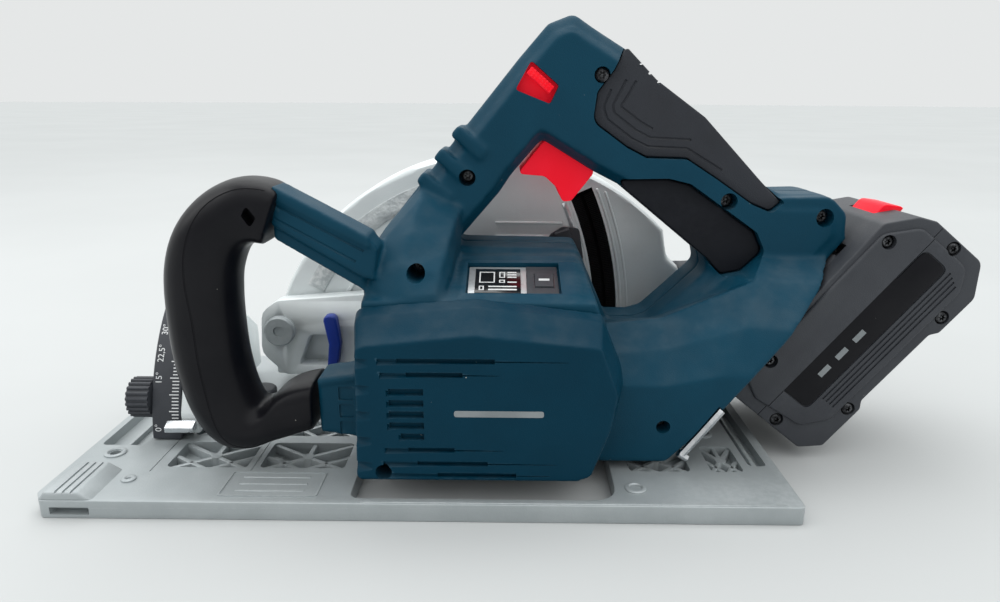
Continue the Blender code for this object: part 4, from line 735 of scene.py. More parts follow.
def hood_blank():
    """The raised frame round the control panel's window."""
    frame_part = sloped(bar((-30.0, -17.0, -6.0), (27.0, 17.0, 1.2)), *PANEL_SPOT)
    return machine(frame_part, 1.0, 2)


PANEL_SPOT = (143.0, -38.0)
FLARE_SCREW = (93.0, 106.0)
BLOCK_SCREW = (179.0, 70.0)
FOOT_SCREW = (211.0, 32.0)
COVER_SCREW = (79.5, 19.6)
SCREW_SPOTS = [(115.0, 146.0), (89.0, 97.0), (180.0, 195.0), (246.0, 135.0), (295.0, 127.0)]
print("screw wells on the near moulding:", len(SCREW_SPOTS))

# %% Cuts in the near moulding
LOCK_WINDOW = [(146.0, 201.5, 1.5), (159.5, 190.0, 1.5), (155.5, 181.5, 1.5), (138.5, 188.0, 1.5)]
GRIP_TOP = [(191.0, 207.0, 2.0), (186.0, 197.0, 3.0), (178.5, 187.0, 5.0), (177.0, 173.5, 7.0),
            (194.0, 161.5, 5.0), (204.0, 156.5, 4.0), (224.0, 156.0, 4.0), (240.0, 146.0, 5.0),
            (258.0, 134.0, 4.0), (268.0, 130.0, 3.0), (273.0, 134.5, 1.0), (262.5, 144.5, 6.0),
            (232.0, 175.5, 10.0), (207.0, 193.0, 8.0), (192.5, 207.2, 2.0)]
GRIP_LOW = [(192.0, 145.0, 2.0), (215.0, 145.5, 4.0), (226.0, 143.0, 5.0), (261.0, 119.0, 4.0),
            (266.0, 109.0, 5.0), (256.0, 99.0, 4.0), (246.0, 97.0, 3.0), (239.0, 104.5, 3.0),
            (194.0, 140.5, 3.0)]
TRIGGER_ROOM = [(139.0, 147.0, 2.0), (153.0, 166.0, 2.0), (166.0, 178.0, 4.0), (184.0, 164.0, 3.0),
                (182.0, 148.0, 3.0), (168.0, 131.0, 2.0), (160.0, 132.0, 2.0)]


def offset(corners, amount):
    """An outline moved outwards, or inwards when amount is negative."""
    points = [Vector(corner[:2]) for corner in corners]
    area = sum(points[i - 1].x * points[i].y - points[i].x * points[i - 1].y for i in range(len(points)))
    sign = 1.0 if area > 0.0 else -1.0
    moved = []
    for index, corner in enumerate(corners):
        before = (points[index] - points[index - 1]).normalized()
        after = (points[(index + 1) % len(points)] - points[index]).normalized()
        normals = (Vector((before.y, -before.x)) + Vector((after.y, -after.x))) * sign
        spot = points[index] + normals * (amount * 2.0 / max(normals.length_squared, 0.6))
        moved.append((spot.x, spot.y, *corner[2:]))
    return moved


def shared_cuts():
    """Room for the motor, the gears, the trigger and the grips."""
    gears = rod("Y", 27.0, 1.0, 40.0, (140.0, 36.0), 40)
    return [rod("Y", 34.0, -70.0, 2.0, MOTOR_AXIS, 48), gears,
            slab([rounded(TRIGGER_ROOM)], -4.8, 24.8),
            slab([rounded(LOCK_WINDOW)], -40.0, 60.0)]


def near_cuts():
    """Screw wells, the panel recess, the key's seat and the parting grooves of the near moulding."""
    wells = [rod("Y", 4.2, -30.0, -2.0, SCREW_SPOTS[index], 32) for index in (0, 3)]
    wells.append(rod("Y", 3.9, -30.0, -7.6, SCREW_SPOTS[2], 32))
    wells.append(rod("Y", 4.3, -80.0, -30.0, FLARE_SCREW, 32))
    wells.append(rod("Y", 4.6, -30.0, -4.0, SCREW_SPOTS[4], 32))
    foot_well = rod("Y", 3.4, -70.0, -44.0, FOOT_SCREW, 32)
    block_well = rod("Y", 3.9, -58.0, -34.0, BLOCK_SCREW, 32)
    recess = sloped(bar((-27.2, -14.2, -1.9), (17.6, 14.2, 6.0)), *PANEL_SPOT)
    key = slab([[(218.0, 16.0), (223.0, 13.2), (242.0, 39.5), (237.0, 43.0)]], -62.0, -52.7)
    grooves = [wire([(30.0, -53.7, 138.5), (70.0, -53.7, 117.0)], 0.7),
               wire([(29.0, -53.7, 132.5), (66.0, -53.7, 112.0)], 0.7)]
    pads = [slab([box_loop((55.0, z), (62.0, z + 7.0), 1.0)], -60.0, -55.4) for z in (26.5, 35.5, 44.5)]
    return wells + [foot_well, block_well, recess, key] + grooves + pads


def frame_bars(seam, skin, toward):
    """The frame as a stack, each layer smaller than the last, that the mould turns into a broad slope."""
    bars = []
    layers, rise = 6, 1.5
    for step in range(layers):
        inset = rise * step
        outlines = [rounded(offset(FRAME_OUTER, -inset)), rounded(offset(FRAME_HOLE, inset * 0.6))]
        face = skin + rise * (layers - 1 - step) * toward
        bars.append(slab(outlines, min(seam, face), max(seam, face)))
    rear = rounded([(240.0, 44.0), (249.0, 42.4), (307.2, 115.8), (306.0, 129.0, 4.0), (297.0, 137.8, 8.0),
                    (272.0, 137.0), (252.0, 112.0), (246.0, 90.0)])
    bars.append(slab([rear], min(seam, skin + toward), max(seam, skin + toward)))
    return bars


def near_moulding():
    """The whole near moulding."""
    block = machine(slab([rounded(BLOCK)], BLOCK_NEAR_Y + 0.2, SPLIT_Y - SEAM_HALF), 1.2, 2,
                    cuts=[sloped(bar((-80.0, -30.0, 0.0), (80.0, 40.0, 30.0)), 125.0, -50.0)])
    solids = [*frame_bars(SPLIT_Y - SEAM_HALF, -13.8, 1.0), block, foot_blank(), flare_blank(), *arm_blanks(),
              *strut_ribs(), hood_blank()]
    grip_cuts = []
    for outline in (GRIP_TOP, GRIP_LOW):
        grip_cuts.append(slab([rounded(offset(outline, 0.7))], -30.0, -5.0))
    return mould(solids, 1.15, 7, cuts=[*shared_cuts(), *near_cuts(), *grip_cuts])


show("near_moulding", near_moulding(), blue_case, "head", ["housing_left"], 50.0)

# %% [markdown]
# ## The far handle moulding
# Its mirror half carries no motor block, so it is shallower. It meets the near half on a fine seam.

# %% Far moulding
def far_moulding():
    """The far half: a shallower frame with the same windows, grips and screw wells."""
    relief = [bar((50.0, 12.0, 0.0), (101.0, 60.0, 60.0)), bar((158.0, 12.0, 0.0), (230.0, 60.0, 46.0))]
    grip_cuts = []
    for outline in (GRIP_TOP, GRIP_LOW):
        grip_cuts.append(slab([rounded(offset(outline, 0.7))], 25.0, 60.0))
    wells = [rod("Y", 3.7, 28.0, 60.0, spot, 32) for spot in SCREW_SPOTS]
    return mould(frame_bars(SPLIT_Y + SEAM_HALF, 33.8, -1.0), 1.15, 5,
                 cuts=[*shared_cuts(), *relief, *grip_cuts, *wells])


show("far_moulding", far_moulding(), blue_case, "head", ["housing_right"], 50.0)

# %% [markdown]
# ## The soft grips
# Rubber is moulded over the bar in a second shot. The upper one has fine grooves that follow its lower
# edge: each place on that edge has its own inward direction, and a row is the edge moved further in.

# %% Grips
GROOVE_PATH = [((187.5, 203.0), (0.8, -0.6)), ((180.8, 189.5), (0.97, -0.25)), ((177.3, 180.0), (1.0, 0.1)),
               ((180.5, 171.5), (0.75, 0.66)), ((194.0, 161.5), (0.5, 0.87)), ((204.0, 157.0), (0.15, 0.99)),
               ((223.0, 156.3), (0.25, 0.97)), ((240.0, 146.2), (0.5, 0.87)), ((257.0, 134.8), (0.5, 0.87)),
               ((270.0, 130.0), (0.5, 0.87))]
GROOVE_SPACING = 4.4


def upper_grip():
    """The palm's grip with three nested grooves on each side and short notches on its crest."""
    body = machine(slab([rounded(GRIP_TOP)], -9.4, 29.4), 3.2, 4)
    grooves = []
    for row in (1, 2, 3):
        corners = []
        inward = GROOVE_SPACING * row
        for (x, z), (nx, nz) in GROOVE_PATH[:-row]:
            corners.append((x + nx * inward, z + nz * inward, 4.0))
        path = rounded(corners, 4)[6 - row:-6]
        for y in (-9.5, 29.5):
            grooves.append(wire(lifted(path, y), 0.8, 1))
    for x, z in ((199.0, 199.8), (203.5, 195.8), (208.0, 191.6)):
        grooves.append(wire([(x, -20.0, z), (x, 40.0, z)], 0.9, 2))
    return machine(body, cuts=grooves)


def lower_grip():
    """The fingers' grip, thick and fully rounded."""
    return machine(slab([rounded(GRIP_LOW, 6)], -10.0, 30.0), 4.5, 5)


show("upper_grip", upper_grip(), soft_rubber, "head", ["grip_top"], 40.0)
show("lower_grip", lower_grip(), smooth_rubber, "head", ["grip_low"], 60.0)

# %% [markdown]
# ## The motor cover
# The cap over the motor has a flat face, a sloping shoulder, a stack of wedge steps down its front edge
# and cooling slots that lie in long shallow grooves. A groove catches light on its lower lip.

# %% Motor cover
COVER_FACE = [(69.0, 80.0, 5.0), (67.0, 15.5, 3.0), (168.0, 15.5, 3.0), (174.0, 18.0, 4.0),
              (182.0, 41.0, 3.0), (184.5, 57.0, 5.0), (183.0, 62.0, 4.0), (176.5, 80.0, 3.0),
              (121.0, 85.5, 14.0)]
COVER_BACK = [(65.8, 92.0, 5.0), (65.8, 14.6, 3.0), (170.0, 14.6, 3.0), (178.0, 18.0, 4.0),
              (187.0, 41.0, 3.0), (190.0, 58.0, 5.0), (188.5, 66.0, 4.0), (178.5, 90.0, 3.0),
              (121.0, 97.0, 14.0)]
COVER_NEAR_Y = -79.8
SLOT_FLOOR_Y = -77.2


def cover_blank():
    """The cap as a skin between its face and the wider line where it meets the block."""
    rows = []
    for y, share in ((COVER_NEAR_Y, 0.0), (-76.0, 0.18), (-66.0, 0.80), (BLOCK_NEAR_Y - 0.3, 1.0)):
        corners = []
        for face, back in zip(COVER_FACE, COVER_BACK):
            x, z = Vector(face[:2]).lerp(Vector(back[:2]), share)
            corners.append((x, z, face[2]))
        rows.append(lifted(rounded(corners, 4), y))
    return loft(rows)


def lip_groove(x0, x1, z, height, depth):
    """A groove with a flat floor, a steep top and a sloping lower lip, running out to the right."""
    y = COVER_NEAR_Y
    near = [(x0, y - 1.0, z + height), (x1, y - 1.0, z + height * 0.6), (x1, y - 1.0, z + height * 0.5),
            (x0, y - 1.0, z - 1.2)]
    deep = [(x0 + 1.0, y + depth, z + height), (x1 - 8.0, y + depth * 0.3, z + height * 0.6),
            (x1 - 8.0, y + depth * 0.3, z + height * 0.5), (x0 + 1.0, y + depth, z + height * 0.35)]
    return loft([near, deep])


def cover_cuts():
    """The motor's room, the grooves, the slots and the screw well."""
    cuts = [rod("Y", 31.6, -77.0, -50.0, MOTOR_AXIS, 64)]
    for x0, x1, z in ((78.0, 168.0, 72.2), (79.0, 138.0, 65.8), (80.0, 140.0, 29.4), (79.0, 164.0, 22.6),
                      (78.0, 162.0, 16.8)):
        cuts.append(lip_groove(x0, x1, z, 2.6, 1.7))
    for x0, x1, z in ((87.0, 130.0, 72.6), (91.0, 116.0, 66.2), (91.0, 112.0, 29.8), (95.0, 127.0, 23.0),
                      (104.0, 140.0, 17.2)):
        cuts.append(bar((x0, -84.0, z), (x1, SLOT_FLOOR_Y, z + 2.4)))
    for row in range(5):
        z = 57.6 - row * 5.4
        left = 83.0 if row < 4 else 88.0
        cuts.append(lip_groove(left - 1.5, 101.0, z - 0.4, 2.9, 1.6))
        cuts.append(bar((left, -84.0, z), (98.5, SLOT_FLOOR_Y, z + 3.2)))
    cuts.append(rod("Y", 3.8, -90.0, -64.0, COVER_SCREW, 32))
    return cuts


def cover_steps():
    """The wedge notches down the front corner."""
    notches = []
    for z in (72.0, 59.5, 47.0, 34.5, 22.0):
        near = lifted([(58.0, z + 5.5), (83.0, z + 2.6), (83.0, z - 1.6), (58.0, z - 6.5)], -84.0)
        deep = [(58.0, -72.0, z + 3.0), (68.5, -76.6, z + 2.2), (68.5, -76.6, z + 0.6),
                (58.0, -72.0, z - 0.6)]
        notches.append(loft([near, deep]))
    return notches


def motor_cover():
    """The cap, rubbed soft and then cut."""
    skin = mould([cover_blank()], 0.8, 3)
    return machine(skin, cuts=[*cover_cuts(), *cover_steps()])


low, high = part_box("motor_cover")
print("cover runs from", round(low.y / MM, 1), "to", round(high.y / MM, 1), "mm")
# Painted shade: a dark sheet behind the cooling slots stands for the shade inside the motor room.
vent_painted_shade = bar((76.0, -76.9, 22.0), (142.0, -76.4, 76.0))
show("vent_painted_shade", vent_painted_shade, bristle_black, "head")
show("motor_cap", motor_cover(), blue_face, "head", ["motor_cover"], 45.0)


def plain_bar(x0, x1, z0, z1, y):
    """A thin printed bar with round corners, in the place where a maker would print a name."""
    return slab([box_loop((x0, z0), (x1, z1), 1.2)], y - 0.12, y + 0.3)


show("cover_bar", plain_bar(112.0, 152.0, 47.5, 50.5, COVER_NEAR_Y), grey_print, "head")

# %% [markdown]
# ## The front handle
# A black loop of full, round section. It is moulded in two shells, so a fine seam runs round it, and an
# oval screw well sits at the top. Each place on its path is (x, z, half width, direction, seam),
# and the skin through the round sections is rubbed smooth.

# %% Front handle
HANDLE_PATH = [
    (29.5, 131.5, 13.0, 70.0, 0.9), (23.5, 134.0, 14.5, 74.0, 0.8), (14.3, 133.2, 16.2, 92.0, 0.7),
    (4.6, 126.8, 17.2, 116.0, 0.6), (-3.4, 115.8, 18.0, 138.0, 0.35), (-7.5, 102.1, 18.1, 157.0, 0.15),
    (-8.6, 85.1, 17.6, 171.0, 0.0), (-8.0, 64.9, 17.4, 180.0, 0.0), (-5.2, 47.6, 17.2, 190.0, 0.05),
    (-0.8, 35.4, 16.8, 208.0, 0.2), (5.8, 28.6, 15.4, 230.0, 0.45), (14.2, 28.6, 13.0, 248.0, 0.7),
    (23.0, 34.0, 12.6, 262.0, 0.8), (32.4, 38.0, 12.8, 267.0, 0.85), (43.0, 41.0, 12.2, 269.0, 0.9),
]
HANDLE_Y = -45.0
HANDLE_HALF_DEPTH = 16.8


def squareness(x):
    """Round where the hand goes, squarer towards the arms' ends."""
    return 2.25 + 1.6 * min(1.0, max(0.0, (x - 10.0) / 18.0))


def on_handle(place, across):
    """A point on the handle's near skin, across from -1 at the hand's side to 1 at the outer side."""
    x, z, half, direction = place[:4]
    angle = math.radians(direction)
    square = squareness(x)
    depth = HANDLE_HALF_DEPTH * (1.0 - abs(across) ** square) ** (1.0 / square)
    return x + half * across * math.cos(angle), HANDLE_Y - depth, z + half * across * math.sin(angle)


def handle_ring(place, steps=28):
    """The full round section at one place of the path."""
    points = []
    for step in range(steps):
        turn = math.tau * step / steps
        across = math.copysign(abs(math.cos(turn)) ** (2.0 / squareness(place[0])), math.cos(turn))
        x, y, z = on_handle(place, across)
        points.append((x, y if math.sin(turn) >= 0.0 else 2.0 * HANDLE_Y - y, z))
    return points


def flowing(places, steps=4):
    """The path with smooth in-between places."""
    count = len(places)
    result = []
    for index in range(count - 1):
        four = [places[max(0, min(count - 1, index + k))] for k in (-1, 0, 1, 2)]
        for step in range(steps):
            t = step / steps
            result.append(tuple(0.5 * (2 * b + (c - a) * t + (2 * a - 5 * b + 4 * c - d) * t ** 2
                                       + (3 * b - a - 3 * c + d) * t ** 3) for a, b, c, d in zip(*four)))
    return [*result, places[-1]]


def front_handle():
    """The loop, its seam and the oval screw well."""
    path = flowing(HANDLE_PATH)
    core = loft([handle_ring(place) for place in path])
    seam = [on_handle(place, place[4]) for place in path[3:-8]]
    well = slab([rounded([(21.0, 138.5, 1.5), (18.5, 134.0, 1.5), (22.0, 128.5, 1.5), (25.0, 133.0, 1.5)])],
                -80.0, -54.0)
    return mould([core], 1.1, 14, cuts=[wire(seam, 0.5, 2), well])


show("d_handle", front_handle(), black_gloss, "head", ["front_handle"], 50.0)

# %% [markdown]
# ## Trigger and lock-off
# Both are bright red so that a hand finds them. The trigger is smooth and swept; the lock-off has a rough
# thumb ridge, cut as a row of small teeth.

# %% Trigger and lock-off
TRIGGER = [(140.0, 147.0, 2.0), (152.0, 162.0, 0.0), (160.0, 171.0, 2.0), (180.0, 158.0, 2.0),
           (178.5, 147.0, 3.0), (168.0, 133.5, 2.5), (163.5, 133.0, 2.5), (160.0, 140.5, 5.0),
           (154.0, 146.0, 5.0)]


def trigger_piece():
    """The swept trigger, which reaches through both mouldings."""
    return machine(slab([rounded(TRIGGER, 5)], -3.9, 23.9), 1.8, 4)


def lock_piece():
    """The plate behind both windows, with a toothed ridge towards each thumb."""
    side = [(146.0, 206.0, 1.0), (165.0, 190.5, 1.0), (157.0, 178.0, 1.0), (135.5, 190.0, 1.0)]
    plate = slab([rounded(side)], -8.0, 28.0)
    ridge = slab([[(146.3, 198.8), (157.4, 189.4), (154.8, 186.2), (143.6, 195.6)]], -12.6, 32.6)
    teeth = []
    start, end = Vector((146.6, 199.3)), Vector((157.9, 189.7))
    for row in range(3):
        for index in range(8):
            spot = start.lerp(end, (index + 0.5) / 8.0) + Vector((-0.64, -0.77)) * (1.0 + 1.4 * row)
            for y in (-13.1, 33.1):
                teeth.append(rod("Y", 0.55, y - 0.5, y + 1.0, tuple(spot), 4))
    return joined([machine(plate, 0.6, 2), machine(ridge, 0.4, 2), *teeth])


show("trigger_lever", trigger_piece(), red_plastic, "trigger", ["trigger"])
show("lock_button", lock_piece(), red_plastic, "lock_off", ["lock_off"])

# %% [markdown]
# ## Screws
# Black thread-forming screws with a six-lobed socket. One function makes them all, because the screws of
# such a saw differ only in size.

# %% Screws
def lobed_screw(x, z, y, radius=3.1, depth=1.5):
    """A pan head facing -Y with a six-lobed socket."""
    profile = [(0.0, y), (radius * 0.75, y), (radius * 0.97, y + 0.5), (radius, y + 1.0), (radius, y + 2.4),
               (0.0, y + 2.4)]
    head = lathe(profile, "Y", (x, z), 32)
    star = []
    for index in range(36):
        angle = math.tau * index / 36.0
        reach = radius * (0.46 + 0.09 * math.cos(6.0 * angle))
        star.append((x + reach * math.cos(angle), z + reach * math.sin(angle)))
    pin = rod("Y", radius * 0.14, y + 0.6, y + depth + 0.5, (x, z), 12)
    socket = machine(slab([star], y - 1.0, y + depth), cuts=[pin])
    return machine(head, cuts=[socket])


near_screws = joined([lobed_screw(*SCREW_SPOTS[0], -5.5), lobed_screw(*FLARE_SCREW, -33.0),
                      lobed_screw(*SCREW_SPOTS[2], -12.4, 3.3), lobed_screw(*SCREW_SPOTS[3], -7.0, 3.3),
                      lobed_screw(*SCREW_SPOTS[4], -8.0), lobed_screw(*BLOCK_SCREW, -40.0),
                      lobed_screw(*FOOT_SCREW, -48.0), lobed_screw(*COVER_SCREW, -68.0)])
show("case_screws", near_screws, dark_steel, "head",
     ["housing_screw_1", "housing_screw_2", "housing_screw_3", "housing_screw_4"], 30.0)
far_screws = joined([lobed_screw(*spot, -30.5) for spot in SCREW_SPOTS])
far_screws.transform(Matrix.Scale(-1.0, 4, (0.0, 1.0, 0.0)))
tidy_mesh(far_screws, flat=False)
show("far_case_screws", far_screws, dark_steel, "head", sharp=30.0)

# %% [markdown]
# ## The control panel
# A sloping window in the block's top: a silver border, a dark display with plain boxes and bars, and a
# push button with a white lamp in its middle.

# %% Control panel
DISPLAY_SPOT = (130.8, -38.0)
BUTTON_SPOT = (153.0, -38.0)


def panel_plate():
    """The silver border, open where the button passes."""
    border = sloped(bar((-26.4, -13.4, -1.6), (16.8, 13.4, -0.9)), *PANEL_SPOT)
    return machine(border, 0.2, 2, cuts=[sloped(bar((-4.7, -6.2, -4.0), (4.7, 6.2, 4.0)), *BUTTON_SPOT)])


def display_glass():
    """The dark display, inside the silver border."""
    return machine(sloped(bar((-11.0, -11.0, -0.95), (11.0, 11.0, -0.55)), *DISPLAY_SPOT), 0.15, 2)


def display_marks():
    """Plain outlined boxes and short bars, no lettering."""
    marks = []
    for x0, y0, x1, y1 in ((-9.0, -2.0, -1.5, 8.0), (0.6, 2.6, 3.4, 8.0), (4.6, 2.6, 9.0, 3.6),
                           (4.6, 4.8, 9.0, 5.8), (4.6, 7.0, 9.0, 8.0), (-9.0, -8.8, -6.6, -5.0),
                           (-4.5, -8.8, 9.0, -7.6), (-4.5, -6.0, 9.0, -5.0), (0.6, -2.0, 3.4, 0.6),
                           (4.6, -2.0, 9.0, -1.0)):
        outer = sloped(bar((x0, y0, -0.60), (x1, y1, -0.48)), *DISPLAY_SPOT)
        if x1 - x0 > 2.0 and y1 - y0 > 2.0:
            hole = sloped(bar((x0 + 0.6, y0 + 0.6, -0.9), (x1 - 0.6, y1 - 0.6, 0.0)), *DISPLAY_SPOT)
            outer = machine(outer, cuts=[hole])
        marks.append(outer)
    return joined(marks)


def panel_button_piece():
    """The square push button."""
    cap = sloped(bar((-4.5, -5.9, -0.8), (4.5, 5.9, 0.1)), *BUTTON_SPOT)
    return machine(cap, 0.3, 3)


show("panel_border", panel_plate(), silver_film, "head", ["display_panel"])
show("panel_glass", display_glass(), screen_black, "head")
show("panel_marks", display_marks(), white_print, "head")
side_strip = machine(sloped(bar((1.5, -13.3, -0.95), (16.7, 13.3, -0.5)), *PANEL_SPOT), 0.15, 2,
                     cuts=[sloped(bar((-4.8, -6.3, -4.0), (4.8, 6.3, 4.0)), *BUTTON_SPOT)])
show("panel_side", side_strip, black_case, "head")
show("panel_button", panel_button_piece(), black_case, "speed_button", ["speed_button"])
lamp = machine(sloped(bar((-2.6, -0.9, 0.0), (2.6, 0.9, 0.25)), *BUTTON_SPOT), 0.1, 2)
show("panel_lamp", lamp, white_print, "speed_button")

# %% [markdown]
# ## The battery
# Two black shells held by six screws, with a raised side panel, a recessed plate and rows of fine grooves.
# It lies along the sloping seam, so its drawing has its own two directions: up the seam and away from it.

# %% Battery frame
SEAM_FOOT = (249.0, 42.0)
SEAM = math.radians(51.5)
CASE_Y = (-29.5, 49.5)


def pack(u, v):
    """(x, z) of a place on the battery: u up along the seam, v away from it."""
    return (SEAM_FOOT[0] + u * math.cos(SEAM) + v * math.sin(SEAM),
            SEAM_FOOT[1] + u * math.sin(SEAM) - v * math.cos(SEAM))


def pack_loop(corners, steps=5):
    """A rounded outline drawn in the battery's own directions."""
    return rounded([(*pack(c[0], c[1]), *c[2:]) for c in corners], steps)


PACK_CORNERS = [(-1.8, 2.0, 1.0), (0.0, 0.6, 1.0), (109.0, 0.6, 5.0), (122.0, 12.0, 6.0),
                (125.6, 20.0, 3.0), (125.6, 52.0, 6.0), (111.0, 63.6, 6.0), (88.0, 63.6, 3.0),
                (84.0, 60.6, 3.0), (38.0, 60.6, 3.0), (34.0, 63.6, 3.0), (7.0, 63.6, 3.0), (-1.8, 54.0, 3.0)]
PANEL_CORNERS = [(10.0, 3.4, 4.0), (105.0, 3.4, 8.0), (119.0, 16.0, 8.0), (119.0, 48.0, 8.0),
                 (108.0, 55.0, 6.0), (20.0, 55.0, 6.0), (7.5, 45.0, 6.0), (4.0, 16.0, 6.0)]
PACK_SCREWS = [(24.0, 7.7), (103.7, 8.3), (2.6, 33.7), (121.4, 35.9), (30.3, 58.2), (94.3, 58.2)]
print("battery side is", round(PACK_CORNERS[5][0] - PACK_CORNERS[0][0], 1), "mm long")

# %% Battery shells
def pack_rail_channel():
    """The channel that slides over the rail on the handle."""
    return slab([pack_box((-20.0, -1.0), (92.0, 8.2))], -15.3, 35.3)


def battery_shell(v0, v1):
    """One shell: the whole case cut down to its own half."""
    case = machine(slab([pack_loop(PACK_CORNERS)], CASE_Y[0] + 1.6, CASE_Y[1] - 1.6), 4.0, 4)
    panel = machine(slab([pack_loop(PANEL_CORNERS)], *CASE_Y), 1.5, 3)
    keep = slab([pack_box((-30.0, v0), (150.0, v1))], -60.0, 80.0)
    return boolean(machine(case, adds=[panel]), "INTERSECT", keep)


def both_sides(below, above):
    """The depths of a piece that starts below each broad side's skin and ends above it."""
    return (CASE_Y[0] - above, CASE_Y[0] + below), (CASE_Y[1] - below, CASE_Y[1] + above)


def pack_box(low, high):
    """A rectangle in the battery's own directions."""
    return pack_loop([low, (high[0], low[1]), high, (low[0], high[1])], 1)


def side_grooves():
    """Fine grooves beside the plate and at its upper end, on both sides."""
    grooves = []
    for start, end, slant, first, spacing in ((26.0, 112.0, 0.0, 42.5, 2.4), (89.0, 109.0, 1.0, 15.0, 2.6)):
        for index in range(4):
            v = first + spacing * index
            outline = pack_box((start - slant * index, v), (end - index, v + 1.0))
            grooves += [slab([outline], y0, y1) for y0, y1 in both_sides(0.7, 0.1)]
    return grooves


def wells_in(spots):
    """Screw wells sunk in both broad sides."""
    wells = []
    for u, v in spots:
        wells += [rod("Y", 3.6, y0, y1, pack(u, v), 28) for y0, y1 in both_sides(5.0, 5.0)]
    return wells


PLATE_LOOP = [(17.0, 16.0, 4.0), (84.0, 16.0, 2.0), (94.0, 25.0, 2.0), (112.0, 25.0, 4.0),
              (112.0, 40.5, 4.0), (17.0, 40.5, 4.0)]
button_room = slab([pack_box((110.0, 5.0), (140.0, 17.0))], -3.6, 23.6)
upper_cuts = [pack_rail_channel(), button_room, *wells_in(PACK_SCREWS[:2])]
upper_shell = machine(battery_shell(-5.0, 24.0), cuts=upper_cuts)
show("battery_upper_shell", upper_shell, black_case, "battery", ["battery_top"], 40.0)
seats = [slab([pack_loop(offset(PLATE_LOOP, 0.5))], y0, y1) for y0, y1 in both_sides(0.8, 2.0)]
lower_cuts = [*seats, *side_grooves(), *wells_in(PACK_SCREWS[2:])]
lower_shell = machine(battery_shell(24.4, 80.0), cuts=lower_cuts)
show("battery_lower_shell", lower_shell, black_case, "battery", ["battery_case"], 40.0)

# %% Battery plate, screws and button
plates = []
for y0, y1 in ((CASE_Y[0] + 0.2, CASE_Y[0] + 1.2), (CASE_Y[1] - 1.2, CASE_Y[1] - 0.2)):
    plates.append(machine(slab([pack_loop(PLATE_LOOP)], y0, y1), 0.25, 2))
show("battery_side_plates", joined(plates), black_gloss, "battery")


def plain_bars():
    """Three short grey bars, so that the broad side is not bare."""
    return joined([slab([pack_box((u, 31.0), (u + 7.0, 34.0))], CASE_Y[0] + 0.05, CASE_Y[0] + 0.3)
                   for u in (34.0, 46.0, 58.0)])


show("battery_bars", plain_bars(), grey_print, "battery")
pack_screws = [lobed_screw(*pack(u, v), CASE_Y[0] + 1.6, 2.8) for u, v in PACK_SCREWS]
show("battery_screws", joined(pack_screws), dark_steel, "battery", sharp=30.0)
BUTTON_SIDE = [(112.2, 6.4, 1.0), (121.0, 6.4, 4.0), (125.6, 14.0, 3.0), (125.6, 15.6, 1.0),
               (112.2, 15.6, 1.0)]
button = machine(slab([pack_loop(BUTTON_SIDE)], -3.0, 23.0), 0.8, 3)
show("release_button", button, red_plastic, "battery_button", ["battery_button"])

# %% [markdown]
# ## The sole
# The sole is a pressure die casting. Its stiff lattice of crossed ribs sits in shallow pockets, which the
# CAD leaves plain, so the ribs are added here together with the rim, the bosses and a blank data frame.

# %% Sole
PLATE_OUTLINE = [(-80.0, -82.0, 3.0), (-75.0, -89.0, 3.0), (270.0, -89.0, 3.0), (270.0, 97.0, 8.0),
                 (-70.0, 97.0, 8.0), (-80.0, 87.0, 8.0)]
PLATE_OPENING = [(64.0, -84.0, 5.0), (186.0, -84.0, 12.0), (188.0, 46.0, 4.0), (178.0, 46.0, 2.0),
                 (178.0, 63.0, 2.0), (226.0, 63.0, 4.0), (226.0, 88.0, 4.0), (178.0, 88.0, 1.0),
                 (178.0, 92.5, 2.0), (122.0, 92.5, 2.0), (122.0, 88.0, 1.0), (72.0, 88.0, 4.0),
                 (72.0, 63.0, 4.0), (122.0, 63.0, 2.0), (122.0, 46.0, 2.0), (64.0, 46.0, 4.0)]
LATTICE = [((-32.0, -58.0), (8.0, -32.0)), ((14.0, -58.0), (56.0, -32.0)), ((-32.0, -24.0), (8.0, 10.0)),
           ((14.0, -24.0), (56.0, 10.0)), ((14.0, 18.0), (56.0, 44.0)), ((196.0, -58.0), (226.0, -32.0)),
           ((196.0, -24.0), (232.0, 12.0)), ((236.0, -58.0), (252.0, -32.0))]
SIDE_TROUGHS = [((-76.0, -36.0), (-53.0, 40.0)), ((256.0, -52.0), (265.0, 22.0))]
TROUGH_HOLE = (-64.0, -44.6)
CAM_SPOTS = [(-13.0, 27.0), (215.0, 27.0)]
PLATE_THICK = 9.0


def crossed_ribs(low, high):
    """Slanting ribs in a pocket: a long one each way and a shorter pair, so that triangles remain."""
    x0, y0 = low
    x1, y1 = high
    xm, ym = (x0 + x1) / 2, (y0 + y1) / 2
    ribs = []
    for ax, ay, bx, by in ((x0, y0, x1, y1), (x0, y1, x1, y0), (xm, y1, xm, ym), (x0, ym, xm, y0),
                           (xm, y0, x1, ym)):
        rib = slab([strip_loop(Vector((ax, ay)), Vector((bx, by)), 1.25)], 3.0, 8.0, "XY")
        ribs.append(machine(rib, 0.6, 2))
    ribs.append(rod("Z", 3.4, 3.2, 8.3, (xm, ym), 20, 2.8))
    return ribs


